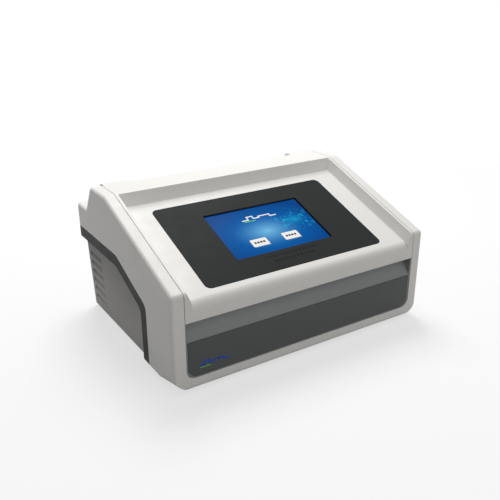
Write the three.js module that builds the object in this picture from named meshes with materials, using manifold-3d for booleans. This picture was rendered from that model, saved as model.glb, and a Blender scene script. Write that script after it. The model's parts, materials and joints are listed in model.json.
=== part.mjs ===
// A bench-top thermal cycler: a white casing of two cheeks and a sill, a sloped lid that carries a
// touch display and hinges at its rear edge, and inside it a 96-well block on heat pumps and a heat sink.
// Millimetres, +Z up. The machine stands on Z = 0 with its front towards -Y, centred on the origin.
// Inside this file Y is measured from the front face, and the outer group moves the whole to the centre.
import * as THREE from "three";
import { mergeVertices } from "three/addons/utils/BufferGeometryUtils.js";
import Module from "manifold-3d";

const wasm = await Module();
wasm.setup();

// ---------------------------------------------------------------- driving dimensions

// Casing
const WIDTH = 400;
const DEPTH = 304;
const TOP_HEIGHT = 202.5; // floor to the flat top
const FRONT_HEIGHT = 134; // floor to the slope's front corner
const SLOPE_END_Y = 195; // where the slope meets the flat top
const TOP_END_Y = 242.6; // rear end of the flat top on the cheeks
const LEDGE_START_Y = 267.6; // foot of the cheek's rear face
const LEDGE_HEIGHT = 163;
const SKIRT_HEIGHT = 118; // where the rear wall starts to lean forwards
const REAR_FOOT_INSET = 15.8; // how far the rear wall's foot stands in from its top
const WALL = 3;
const CHEEK_WIDTH = 17;
const EDGE_RADIUS = 5; // along the outer edges of the cheeks
const SIDE_KNEE_RADIUS = 30; // where the slope bends into the flat top
const BOTTOM_CORNER_RADIUS = 27; // seen from the front, at the front face
const BOTTOM_EDGE_RADIUS = 8; // what that corner has shrunk to behind the front
const CORNER_BLEND = 45; // depth over which it shrinks
const TRAY_THICKNESS = 2;
const TRAY_SLOT_COUNT = 9;
const TRAY_SLOT_WIDTH = 5;
const TRAY_SLOT_PITCH = 13;
const SILL_TOP = 19.4;
const SILL_DEPTH = 24;
const OPENING_RADIUS = 12; // lower corners of the front opening
const FOOT_HEIGHT = 4;
const FOOT_RADIUS = 9;
const FOOT_INSET_X = 37;
const FOOT_INSET_Y = 40;

// Side panels
const SEAM_FRONT_Y = 73;
const SEAM_LOW_HEIGHT = 92.2;
const SEAM_KNEE_Y = 161.5;
const SEAM_HIGH_HEIGHT = 129.6;
const SEAM_KNEE_RADIUS = 14;
const SEAM_FOOT_RADIUS = 12;
const STRIP_WIDTH = 16; // flush border between seam and recess
const RECESS_DEPTH = 9.4;
const VENT_COUNT = 6;
const VENT_PITCH = 13.4;
const VENT_HEIGHT = 3.2;
const VENT_LIP = 4.6; // how far the vent's lower lip slopes down to the outer face
const VENT_LENGTH = 43;
const VENT_LOWEST = 21;
const VENT_REAR_INSET = 8.5; // from the leaning rear edge

// Lid
const LID_BOTTOM = 95.7;
const LID_SIDE_GAP = 0.8;
const LID_REAR_Y = 241;
const FLOOR_DROP = 14.3; // display floor below the slope
const FLOOR_THICKNESS = 4;
const RAIL_WIDTH = 3.9;
const RAIL_DRAFT = 6;
const REAR_BAR_DRAFT = 13;
const REAR_BAR_INSET = 1.6; // from the slope's rear end to the bar's front edge
const HOLLOW_FOOT_RADIUS = 1.5; // rear corners of the display hollow at its floor
const HOLLOW_TOP_RADIUS = 2.5; // and at the slope
const BULLNOSE_RADIUS = 14;
const CAVITY_INSET = 10; // from the slope's end to where the lid's inside turns level
const LINER_THICKNESS = 2.5;
const CATCH_Y = 36;
const CATCH_HALF_X = 18;
const CATCH_HALF_Y = 6;
const CATCH_PLATE_THICKNESS = 1.6;
const MAGNET_HEIGHT = 9;
const MAGNET_FLANGE = 3;
const GASKET_START = 9; // from the block
const GASKET_WIDTH = 5;

// Display, measured up the slope from its front corner
const BEZEL_WIDTH = 280;
const BEZEL_LENGTH = 162.4;
const BEZEL_START = 12.2;
const BEZEL_RADIUS = 8;
const BEZEL_THICKNESS = 2;
const BEZEL_PROUD = 0.5;
const BEZEL_SEAT = 3; // rim that the bezel rests on
const SCREEN_WIDTH = 154.6;
const SCREEN_LENGTH = 95.6;
const SCREEN_SHIFT = 1.3; // screen centre above the bezel's centre
const DISPLAY_SHIFT = -3; // the whole display stands a little to the left
const TOUCH_BORDER = 6;
const TOUCH_THICKNESS = 1.8;
const LCD_THICKNESS = 6;
const BRACKET_RIM = 4; // how far the bracket reaches past the bezel
const DRIVER_HALF_X = 60; // the display's circuit board
const DRIVER_HALF_V = 35;
const SHEET = 1.5;

// Lid hinge
const HINGE_Y = 247.5;
const KNUCKLE_RADIUS = 9.5;
const KNUCKLE_WIDTH = 42;
const KNUCKLE_INSET = 2.2; // from the lid's side
const PIN_RADIUS = 3;
const PIN_RUNNING_GAP = 0.3;
const EAR_THICKNESS = 4;
const EAR_FOOT_LENGTH = 33; // along the ledge
const KNUCKLE_SKIN = 2; // closes the knuckle's slot on top
const SKIN_REACH = 2; // how far the skin runs past the pin

// Front
const FASCIA_TOP = 69.8;
const FASCIA_BORDER = 3.2;
const FASCIA_THICKNESS = 1.2;
const FASCIA_SETBACK = 0.3;
const GRIP_DEPTH = 21; // how far the finger recess runs in under the lid
const GRIP_END = 1.5; // thickness of the recess's end walls

// Deck and sample block
const DECK_GAP = 1.2; // between lid and deck
const DECK_THICKNESS = 2.5;
const TOWER_GAP = 5; // between the lid's rear and the casing's rear box
const BLOCK_WIDTH = 116;
const BLOCK_LENGTH = 80;
const BLOCK_HEIGHT = 25;
const BLOCK_CENTRE_Y = 135;
const BLOCK_SINK = 1.5; // block's top below the deck's top
const WELL_PITCH = 9;
const WELL_COLUMNS = 12;
const WELL_ROWS = 8;
const WELL_TOP_RADIUS = 3.1;
const WELL_FOOT_RADIUS = 1.5;
const WELL_DEPTH = 16;
const SURROUND_BORDER = 16;
const SURROUND_DROP = 6;
const SURROUND_FLANGE = 6;
const PELTIER_SIZE = 38;
const PELTIER_THICKNESS = 3.6;
const SINK_BASE = 10;
const SINK_BORDER_X = 30; // the sink's base beyond the block
const SINK_BORDER_Y = 22;
const FIN_SIDE_INSET = 14;
const COLUMN_RADIUS = 5; // the tray's columns under the sink's corners
const COLUMN_INSET_X = 7;
const COLUMN_INSET_Y = 8;
const FIN_COUNT = 20;
const FIN_THICKNESS = 2;
const FIN_LENGTH = 32;

// Heated cover inside the lid
const TUBE_SPACE = 6; // block to cover at rest
const COVER_THICKNESS = 6;
const SPRING_ROOM = 7;
const CARRIER_THICKNESS = 2.5;
const CARRIER_BORDER = 15;
const CARRIER_LEG_RADIUS = 4;
const CARRIER_LEG_INSET = 5;
const PAD_THICKNESS = 1.2;
const PAD_INSET = 13; // from the block's sides
const GUIDE_RADIUS = 2;
const GUIDE_HEAD_RADIUS = 4;
const GUIDE_HEAD = 2.2;
const GUIDE_INSET = 8;
const SPRING_WIRE_RADIUS = 0.5;
const SPRING_TURNS = 4;
const SPRING_RADIUS = 3.5; // to the middle of the wire

// Cooling and power
const FAN_SIZE = 60;
const FAN_DEPTH = 25;
const FAN_HEIGHT = 54;
const FAN_REAR_INSET = 48; // fan centre from the rear face
const FAN_RIM = 1.5;
const FAN_MOTOR_RADIUS = 13;
const FAN_HUB_RADIUS = 11;
const BLADES = 7;
const BLADE_SIZE = [14, 1.4]; // chord and thickness
const BLADE_TIP_GAP = 1.5;
const BLADE_ROOT = 8;
const ELECTRONICS_INSET = 16; // behind the sill
const PSU_SIZE = [82, 160, 40];
const PSU_SLOT_COUNT = 8;
const BOARD_SIZE = [80, 160, 1.6];
const STANDOFF = 6;
const STANDOFF_RADIUS = 3;

// Rear panel: each fitting's centre in the panel's frame and its half sizes
const INLET = { x: -140, z: 45, half: 13.4, low: -10, high: 22, depth: 20 };
const DRAWER = { halfX: 10, low: 12, high: 19.5, depth: 17, wall: 1.5 };
const SWITCH = { x: -92, z: 51, halfX: 9.5, halfZ: 14, depth: 18 };
const ROCKER = { halfX: 6, halfZ: 10.5, pivotY: -1, tilt: Math.PI / 18 };
const USB = { x: 106, z: 45, halfX: 7, halfZ: 3.6, depth: 14, wall: 1.2 };
const NETWORK = { x: 140, z: 45, halfX: 8.2, halfZ: 7, depth: 16, wall: 1.5 };
const FLANGE = 2;
const LIP = 3.5;
const SHEET_THICKNESS = 2;
const REAR_SLOTS = { count: 7, start: -30, pitch: 16, width: 4, low: 30, high: 75 };

// Clearances
const FIT = 0.3;
const BLOCK_GAP = 1;
const OVERRUN = 60; // how far a cutter runs past what it cuts

// ---------------------------------------------------------------- derived sizes

const HALF = WIDTH / 2;
const BAY_HALF = HALF - CHEEK_WIDTH;
const LID_HALF = BAY_HALF - LID_SIDE_GAP;
const BASE = FOOT_HEIGHT;
const REAR_FOOT_Y = DEPTH - REAR_FOOT_INSET;
const SLOPE = Math.atan2(TOP_HEIGHT - FRONT_HEIGHT, SLOPE_END_Y);
const SLOPE_LENGTH = Math.hypot(TOP_HEIGHT - FRONT_HEIGHT, SLOPE_END_Y);
const REAR_LEAN = Math.atan2(DEPTH - REAR_FOOT_Y, SKIRT_HEIGHT - BASE);
const REAR_LENGTH = Math.hypot(DEPTH - REAR_FOOT_Y, SKIRT_HEIGHT - BASE);
const PANEL_DEPTH = RECESS_DEPTH + WALL;
const PANEL_BACK = HALF - PANEL_DEPTH;
const LEG_INNER = HALF - BOTTOM_CORNER_RADIUS; // inner side of the casing's lower corners
const TRAY_TOP = BASE + TRAY_THICKNESS;
const DECK_TOP = LID_BOTTOM - DECK_GAP;
const DECK_BOTTOM = DECK_TOP - DECK_THICKNESS;
const TOWER_Y = LID_REAR_Y + TOWER_GAP;
const HINGE_Z = TOP_HEIGHT - KNUCKLE_RADIUS;
const EAR_REACH = KNUCKLE_RADIUS - KNUCKLE_SKIN - 2 * FIT;
const KNUCKLE_OUTER = LID_HALF - KNUCKLE_INSET;
const KNUCKLE_CENTRE = KNUCKLE_OUTER - KNUCKLE_WIDTH / 2;
const FLOOR = -FLOOR_DROP;
const BEZEL_CENTRE = BEZEL_START + BEZEL_LENGTH / 2;
const BEZEL_FOOT = FLOOR + BEZEL_PROUD - BEZEL_THICKNESS;
const SCREEN_CENTRE = BEZEL_CENTRE + SCREEN_SHIFT;
const TOUCH_TOP = BEZEL_FOOT - FIT;
const LCD_TOP = TOUCH_TOP - TOUCH_THICKNESS - FIT;
const BRACKET_FLOOR = LCD_TOP - LCD_THICKNESS - FIT;
const BLOCK_TOP = DECK_TOP - BLOCK_SINK;
const BLOCK_FOOT = BLOCK_TOP - BLOCK_HEIGHT;
const SINK_TOP = BLOCK_FOOT - PELTIER_THICKNESS;
const SINK_FOOT = SINK_TOP - SINK_BASE;
const LINER_TOP = LID_BOTTOM + LINER_THICKNESS;
const COVER_FOOT = BLOCK_TOP + TUBE_SPACE;
const COVER_TOP = COVER_FOOT + COVER_THICKNESS;
const COVER_HALF_X = BLOCK_WIDTH / 2 + WALL;
const COVER_HALF_Y = BLOCK_LENGTH / 2 + BLOCK_GAP;
const CARRIER_FOOT = COVER_TOP + SPRING_ROOM;
const CARRIER_TOP = CARRIER_FOOT + CARRIER_THICKNESS;
const GUIDE_X = COVER_HALF_X - GUIDE_INSET;
const GUIDE_Y = COVER_HALF_Y - GUIDE_INSET + WALL / 2;
const FAN_Y = DEPTH - FAN_REAR_INSET;
const FAN_OUTER = PANEL_BACK - FIT;
const FAN_INNER = FAN_OUTER - FAN_DEPTH;
const ELECTRONICS_START = SILL_DEPTH + ELECTRONICS_INSET;

// ---------------------------------------------------------------- finishes

const finish = (color, roughness, metalness = 0) =>
  new THREE.MeshStandardMaterial({ color, roughness, metalness });
const WHITE = finish(0xecebe6, 0.55);
const GRAPHITE = finish(0x56585a, 0.6);
const MID_GREY = finish(0x6b6d6e, 0.6);
const DARK = finish(0x2b2d2f, 0.5);
const BEZEL_GREY = finish(0x45484b, 0.4);
const GLASS = finish(0x124a96, 0.15);
const STEEL = finish(0xb4b6b8, 0.35, 1);
const ALUMINIUM = finish(0xc9cbcc, 0.4, 1);
const RUBBER = finish(0x1d1d1e, 0.9);
const BOARD_GREEN = finish(0x1f5a3a, 0.6);
const CERAMIC = finish(0xe6e2d6, 0.7);
const SILICONE = finish(0xb5552c, 0.7);

// ---------------------------------------------------------------- shape tools

const ARC_STEP = Math.PI / 10;
const ROUND = 24;

function toSolid(geometry) {
  const bare = new THREE.BufferGeometry();
  bare.setAttribute("position", geometry.getAttribute("position"));
  bare.setIndex(geometry.index);
  const merged = mergeVertices(bare);
  return new wasm.Manifold(
    new wasm.Mesh({
      numProp: 3,
      vertProperties: merged.attributes.position.array,
      triVerts: new Uint32Array(merged.index.array),
    }),
  );
}

function toGeometry(solid) {
  const mesh = solid.getMesh();
  const geometry = new THREE.BufferGeometry();
  geometry.setAttribute("position", new THREE.BufferAttribute(mesh.vertProperties, mesh.numProp));
  geometry.setIndex(new THREE.BufferAttribute(mesh.triVerts, 1));
  return geometry;
}

const join = (first, ...rest) => rest.reduce((whole, piece) => whole.add(piece), first);
const cut = (first, ...rest) => rest.reduce((whole, piece) => whole.subtract(piece), first);

// A closed outline whose corners are [u, v, radius].
function outline(corners) {
  return corners.flatMap(([u, v, radius = 0], i) => {
    const corner = new THREE.Vector2(u, v);
    if (radius <= 0) return [corner];
    const [bu, bv] = corners.at(i - 1);
    const [au, av] = corners[(i + 1) % corners.length];
    const back = new THREE.Vector2(bu, bv).sub(corner).normalize();
    const ahead = new THREE.Vector2(au, av).sub(corner).normalize();
    const half = Math.acos(back.dot(ahead)) / 2;
    const centre = back.clone().add(ahead).setLength(radius / Math.sin(half)).add(corner);
    const start = back.multiplyScalar(radius / Math.tan(half)).add(corner).sub(centre);
    const end = ahead.multiplyScalar(radius / Math.tan(half)).add(corner).sub(centre);
    const turn = Math.atan2(start.cross(end), start.dot(end));
    const steps = Math.max(1, Math.ceil(Math.abs(turn) / ARC_STEP));
    return Array.from({ length: steps + 1 }, (_, k) =>
      start.clone().rotateAround(new THREE.Vector2(), (turn * k) / steps).add(centre),
    );
  });
}

// The same corners moved inwards by a distance, for outlines that run counter-clockwise.
function inset(corners, distance) {
  const edges = corners.map(([u, v], i) => {
    const [nu, nv] = corners[(i + 1) % corners.length];
    const along = new THREE.Vector2(nu - u, nv - v).normalize();
    const point = new THREE.Vector2(u - along.y * distance, v + along.x * distance);
    return { point, along };
  });
  return corners.map(([, , radius = 0], i) => {
    const before = edges.at(i - 1);
    const after = edges[i];
    const crossing = before.along.cross(after.along);
    const reach = after.point.clone().sub(before.point).cross(after.along) / crossing;
    const corner = before.along.clone().multiplyScalar(reach).add(before.point);
    const kept = radius && Math.max(1, radius - Math.sign(crossing) * distance);
    return [corner.x, corner.y, kept];
  });
}

const rectangle = (u0, u1, v0, v1, radius = 0) => [
  [u0, v0, radius],
  [u1, v0, radius],
  [u1, v1, radius],
  [u0, v1, radius],
];

function extruded(corners, depth, bevel = 0) {
  return new THREE.ExtrudeGeometry(new THREE.Shape(outline(corners)), {
    depth: depth - 2 * bevel,
    bevelEnabled: bevel > 0,
    bevelSize: bevel,
    bevelThickness: bevel,
    bevelOffset: -bevel,
    bevelSegments: 3,
  }).translate(0, 0, bevel);
}

const TO_X = new THREE.Matrix4().set(0, 0, 1, 0, 1, 0, 0, 0, 0, 1, 0, 0, 0, 0, 0, 1);
const TO_Y = new THREE.Matrix4().set(1, 0, 0, 0, 0, 0, -1, 0, 0, 1, 0, 0, 0, 0, 0, 1);

// Prisms along each axis: the outline is in (y, z), (x, z) or (x, y).
const prismX = (corners, x0, x1, bevel) =>
  toSolid(extruded(corners, x1 - x0, bevel).applyMatrix4(TO_X).translate(x0, 0, 0));
const prismY = (corners, y0, y1) =>
  toSolid(extruded(corners, y1 - y0).applyMatrix4(TO_Y).translate(0, y1, 0));
const prismZ = (corners, z0, z1) => toSolid(extruded(corners, z1 - z0).translate(0, 0, z0));

function box(x0, x1, y0, y1, z0, z1) {
  const geometry = new THREE.BoxGeometry(x1 - x0, y1 - y0, z1 - z0);
  return toSolid(geometry.translate((x0 + x1) / 2, (y0 + y1) / 2, (z0 + z1) / 2));
}

const rod = (radius, length, sides = ROUND, footRadius = radius) =>
  new THREE.CylinderGeometry(radius, footRadius, length, sides);
const rodX = (y, z, radius, x0, x1, sides) =>
  toSolid(rod(radius, x1 - x0, sides).rotateZ(-Math.PI / 2).translate((x0 + x1) / 2, y, z));
const rodZ = (x, y, radius, z0, z1, sides, footRadius) =>
  toSolid(rod(radius, z1 - z0, sides, footRadius).rotateX(Math.PI / 2).translate(x, y, (z0 + z1) / 2));

// A closed solid between two outlines of equal length, at heights w0 and w1.
function loft(low, high, w0, w1) {
  const count = low.length;
  const positions = [...low.map((p) => [p.x, p.y, w0]), ...high.map((p) => [p.x, p.y, w1])];
  const faces = low.flatMap((_, i) => {
    const j = (i + 1) % count;
    return [i, j, count + j, i, count + j, count + i];
  });
  THREE.ShapeUtils.triangulateShape(low, []).forEach(([a, b, c]) => faces.push(a, c, b));
  THREE.ShapeUtils.triangulateShape(high, []).forEach(([a, b, c]) =>
    faces.push(count + a, count + b, count + c),
  );
  const geometry = new THREE.BufferGeometry();
  geometry.setAttribute("position", new THREE.Float32BufferAttribute(positions.flat(), 3));
  geometry.setIndex(faces);
  return geometry;
}

// The display's frame: X across, Y up the slope from its front corner, Z out of the slope.
const slopeFrame = new THREE.Matrix4().makeRotationX(SLOPE).setPosition(0, 0, FRONT_HEIGHT);
// The rear panel's frame: X across, Y outwards, Z up the panel from its foot.
const rearFrame = new THREE.Matrix4().makeRotationX(-REAR_LEAN).setPosition(0, REAR_FOOT_Y, BASE);
const inSlope = (solid) => toSolid(toGeometry(solid).applyMatrix4(slopeFrame));

const machine = new THREE.Group();
machine.position.y = -DEPTH / 2;
const display = new THREE.Group();
display.applyMatrix4(slopeFrame);
const rear = new THREE.Group();
rear.applyMatrix4(rearFrame);
machine.add(display, rear);

function add(name, solid, material, group = machine) {
  const mesh = new THREE.Mesh(toGeometry(solid), material);
  mesh.name = name;
  group.add(mesh);
  return mesh;
}

const SIDES = [
  ["left", -1],
  ["right", 1],
];

// A prism along X on one side of the machine, between two distances from its middle.
const sidePrism = (side, corners, near, far) =>
  prismX(corners, Math.min(side * near, side * far), Math.max(side * near, side * far));
const sideBox = (side, near, far, y0, y1, z0, z1) =>
  box(Math.min(side * near, side * far), Math.max(side * near, side * far), y0, y1, z0, z1);

// ---------------------------------------------------------------- casing

// Side view of the casing, counter-clockwise in (y, z).
const casingOutline = [
  [0, BASE, EDGE_RADIUS + 1],
  [REAR_FOOT_Y, BASE],
  [DEPTH, SKIRT_HEIGHT],
  [DEPTH, LEDGE_HEIGHT],
  [LEDGE_START_Y, LEDGE_HEIGHT, EDGE_RADIUS],
  [TOP_END_Y, TOP_HEIGHT, EDGE_RADIUS + 1],
  [SLOPE_END_Y, TOP_HEIGHT, SIDE_KNEE_RADIUS],
  [0, FRONT_HEIGHT, EDGE_RADIUS + 1.5],
];

const frontOutline = (radius) => [
  [-HALF, BASE, radius],
  [HALF, BASE, radius],
  [HALF, TOP_HEIGHT + 1],
  [-HALF, TOP_HEIGHT + 1],
];

// The casing seen from the front: its lower corners are wide at the front face and tight behind it.
function frontProfile() {
  const wide = outline(frontOutline(BOTTOM_CORNER_RADIUS));
  const tight = outline(frontOutline(BOTTOM_EDGE_RADIUS));
  const blend = toSolid(loft(tight, wide, -CORNER_BLEND, 1).applyMatrix4(TO_Y));
  return join(blend, prismY(frontOutline(BOTTOM_EDGE_RADIUS), CORNER_BLEND, DEPTH + 1));
}

const casingSolid = () => prismX(casingOutline, -HALF, HALF, EDGE_RADIUS).intersect(frontProfile());

// Side view of one side panel: it meets the white casing along a seam with one sloped run.
const panelOutline = [
  [SEAM_FRONT_Y, BASE],
  [REAR_FOOT_Y, BASE],
  [DEPTH, SKIRT_HEIGHT],
  [DEPTH, SEAM_HIGH_HEIGHT],
  [SEAM_KNEE_Y, SEAM_HIGH_HEIGHT, SEAM_KNEE_RADIUS],
  [SEAM_FRONT_Y, SEAM_LOW_HEIGHT, SEAM_FOOT_RADIUS],
];

// The front and top edges of the panel moved in, the foot and rear edges run out past the panel.
function recessOutline(border) {
  const inner = inset(panelOutline, border);
  const [, , , high, knee, low] = inner;
  return [
    [low[0], BASE - OVERRUN],
    [DEPTH + OVERRUN, BASE - OVERRUN],
    [DEPTH + OVERRUN, high[1]],
    [knee[0], knee[1], SEAM_KNEE_RADIUS],
    [low[0], low[1], SEAM_KNEE_RADIUS],
  ];
}

function mainHousing() {
  const inside = prismX(inset(casingOutline, WALL), -HALF + WALL, HALF - WALL).intersect(
    prismY(inset(frontOutline(BOTTOM_CORNER_RADIUS), WALL), -1, DEPTH + 1),
  );
  const within = prismX(inset(casingOutline, WALL / 2), -HALF + WALL, HALF - WALL);
  const innerWalls = SIDES.flatMap(([, side]) => [
    sideBox(side, BAY_HALF, BAY_HALF + WALL, WALL / 2, TOWER_Y + WALL, DECK_BOTTOM - WALL, TOP_HEIGHT),
    sideBox(side, BAY_HALF, BAY_HALF + WALL, WALL / 2, SEAM_FRONT_Y, BASE + WALL / 2, DECK_BOTTOM),
    sideBox(side, BAY_HALF, BAY_HALF + WALL, TOWER_Y, DEPTH, LEDGE_HEIGHT - WALL, TOP_HEIGHT),
    sideBox(side, BAY_HALF - 2 * WALL, BAY_HALF + 1, SILL_DEPTH, TOWER_Y, DECK_BOTTOM - WALL, DECK_BOTTOM),
  ]);
  const tower = join(
    box(-BAY_HALF, BAY_HALF, TOWER_Y, TOWER_Y + WALL, DECK_BOTTOM - WALL, LEDGE_HEIGHT),
    box(-BAY_HALF, BAY_HALF, TOWER_Y, DEPTH - 2 * WALL, LEDGE_HEIGHT - WALL, LEDGE_HEIGHT),
  );
  const whole = join(
    casingSolid().subtract(inside),
    join(...innerWalls).intersect(within),
    tower,
  );
  const overLedge = box(-BAY_HALF, BAY_HALF, TOWER_Y - 1, DEPTH + 1, LEDGE_HEIGHT, TOP_HEIGHT + 1);
  const bay = box(-BAY_HALF, BAY_HALF, -1, TOWER_Y, DECK_BOTTOM, TOP_HEIGHT + 1);
  const frontOpening = prismY(
    [
      [-BAY_HALF, SILL_TOP, OPENING_RADIUS],
      [BAY_HALF, SILL_TOP, OPENING_RADIUS],
      [BAY_HALF, DECK_BOTTOM + 1],
      [-BAY_HALF, DECK_BOTTOM + 1],
    ],
    -1,
    SILL_DEPTH,
  );
  const underside = join(
    box(-LEG_INNER, LEG_INNER, SILL_DEPTH, DEPTH, 0, TRAY_TOP + WALL),
    box(FIT - PANEL_BACK, PANEL_BACK - FIT, SEAM_FRONT_Y, DEPTH, 0, TRAY_TOP + WALL),
  );
  const rearOpening = box(
    FIT - PANEL_BACK, PANEL_BACK - FIT, TOWER_Y + WALL, DEPTH + 1, 0, SKIRT_HEIGHT,
  );
  const openings = SIDES.map(([, side]) => sidePrism(side, panelCutOutline(), PANEL_BACK - FIT, HALF + 1));
  return cut(whole, bay, overLedge, frontOpening, underside, rearOpening, ...openings);
}

// The casing's opening for a side panel: the panel's outline with a fine gap at the seam.
function panelCutOutline() {
  const outer = inset(panelOutline, -FIT);
  const [, , , high, knee, low] = outer;
  return [
    [low[0], BASE - 1],
    [DEPTH + 1, BASE - 1],
    [DEPTH + 1, high[1]],
    [knee[0], knee[1], SEAM_KNEE_RADIUS],
    [low[0], low[1], SEAM_FOOT_RADIUS],
  ];
}

const rearEdgeY = (z) => REAR_FOOT_Y + (z - BASE) * Math.tan(REAR_LEAN);

function sidePanel(side) {
  const blank = casingSolid().intersect(sidePrism(side, panelOutline, PANEL_BACK, HALF + 1));
  const lowFace = outline(recessOutline(STRIP_WIDTH + RECESS_DEPTH));
  const highFace = outline(recessOutline(STRIP_WIDTH - 1));
  const recess = toSolid(loft(lowFace, highFace, HALF - RECESS_DEPTH, HALF + 1).applyMatrix4(TO_X));
  const behind = prismX(inset(panelOutline, WALL), PANEL_BACK - 1, HALF - WALL).subtract(
    prismX(recessOutline(STRIP_WIDTH - WALL), PANEL_BACK - 2, HALF),
  );
  const vents = Array.from({ length: VENT_COUNT }, (_, k) => {
    const z = VENT_LOWEST + k * VENT_PITCH;
    const end = rearEdgeY(z) - VENT_REAR_INSET;
    const top = z + VENT_HEIGHT / 2;
    const slot = (foot) => outline(rectangle(end - VENT_LENGTH, end, foot, top, VENT_HEIGHT / 2.2));
    const inner = slot(top - VENT_HEIGHT);
    const outer = slot(top - VENT_HEIGHT - VENT_LIP);
    return toSolid(loft(inner, outer, PANEL_BACK - 1, PANEL_BACK + WALL + 1).applyMatrix4(TO_X));
  });
  const cutters = join(recess, behind, ...vents);
  return blank.subtract(side > 0 ? cutters : mirrored(cutters));
}

function mirrored(solid) {
  const geometry = toGeometry(solid).scale(-1, 1, 1);
  const faces = geometry.index.array;
  for (let i = 0; i < faces.length; i += 3) [faces[i + 1], faces[i + 2]] = [faces[i + 2], faces[i + 1]];
  return toSolid(geometry);
}

function baseTray() {
  const narrow = LEG_INNER - FIT;
  const wide = PANEL_BACK - 2 * FIT;
  const start = SILL_DEPTH + FIT;
  const end = REAR_FOOT_Y - WALL;
  const plate = prismZ(
    [
      [-narrow, start],
      [narrow, start],
      [narrow, SEAM_FRONT_Y + FIT],
      [wide, SEAM_FRONT_Y + FIT],
      [wide, end],
      [-wide, end],
      [-wide, SEAM_FRONT_Y + FIT],
      [-narrow, SEAM_FRONT_Y + FIT],
    ],
    BASE,
    TRAY_TOP,
  );
  const columns = sinkCorners().map(([x, y]) => rodZ(x, y, COLUMN_RADIUS, BASE + 1, SINK_FOOT, 12));
  const slots = Array.from({ length: TRAY_SLOT_COUNT }, (_, k) => {
    const x = (k - (TRAY_SLOT_COUNT - 1) / 2) * TRAY_SLOT_PITCH;
    const reach = BLOCK_LENGTH / 2;
    return box(x, x + TRAY_SLOT_WIDTH, BLOCK_CENTRE_Y - reach, BLOCK_CENTRE_Y + reach, 0, TRAY_TOP + 1);
  });
  return cut(join(plate, ...columns), ...slots);
}

function sinkCorners() {
  const x = BLOCK_WIDTH / 2 + SINK_BORDER_X - COLUMN_INSET_X;
  const y = BLOCK_LENGTH / 2 + SINK_BORDER_Y - COLUMN_INSET_Y;
  return [-1, 1].flatMap((j) => [-1, 1].map((i) => [i * x, BLOCK_CENTRE_Y + j * y]));
}

function frontPanel() {
  const face = FASCIA_SETBACK + FASCIA_THICKNESS;
  const section = [
    [face, SILL_TOP + FIT],
    [face + WALL, SILL_TOP + FIT],
    [face + WALL, FASCIA_TOP - WALL / 2],
    [GRIP_DEPTH, DECK_BOTTOM - 2 * WALL],
    [GRIP_DEPTH, DECK_TOP],
    [GRIP_DEPTH - WALL, DECK_TOP],
    [face, FASCIA_TOP],
  ];
  const span = BAY_HALF - FIT;
  const shape = [
    [-span, SILL_TOP + FIT, OPENING_RADIUS],
    [span, SILL_TOP + FIT, OPENING_RADIUS],
    [span, DECK_TOP + 1],
    [-span, DECK_TOP + 1],
  ];
  const recess = [
    [face, FASCIA_TOP],
    [GRIP_DEPTH - WALL / 2, DECK_TOP],
    [face, DECK_TOP],
  ];
  const ends = SIDES.map(([, side]) => sidePrism(side, recess, span - GRIP_END, span));
  return join(prismX(section, -span, span), ...ends).intersect(prismY(shape, -1, SILL_DEPTH + 1));
}

function frontFascia() {
  const span = BAY_HALF - FASCIA_BORDER;
  return prismY(
    [
      [-span, SILL_TOP + FASCIA_BORDER / 2, OPENING_RADIUS],
      [span, SILL_TOP + FASCIA_BORDER / 2, OPENING_RADIUS],
      [span, FASCIA_TOP - FIT],
      [-span, FASCIA_TOP - FIT],
    ],
    FASCIA_SETBACK,
    FASCIA_SETBACK + FASCIA_THICKNESS,
  );
}

add("main_housing", mainHousing(), WHITE);
add("base_tray", baseTray(), STEEL);
SIDES.forEach(([name, side]) => add(`side_panel_${name}`, sidePanel(side), GRAPHITE));
add("front_panel", frontPanel(), MID_GREY);
add("front_fascia", frontFascia(), DARK);

const footPlaces = [FOOT_INSET_Y, REAR_FOOT_Y - FOOT_INSET_Y / 2].flatMap((y) => [
  [FOOT_INSET_X - HALF, y],
  [HALF - FOOT_INSET_X, y],
]);
footPlaces.forEach(([x, y], i) =>
  add(`foot_${i + 1}`, rodZ(x, y, FOOT_RADIUS, 0, FOOT_HEIGHT, ROUND, FOOT_RADIUS - 1), RUBBER),
);

// ---------------------------------------------------------------- lid

const lidFloorZ = (y) => FRONT_HEIGHT - FLOOR_DROP / Math.cos(SLOPE) + y * Math.tan(SLOPE);

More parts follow.
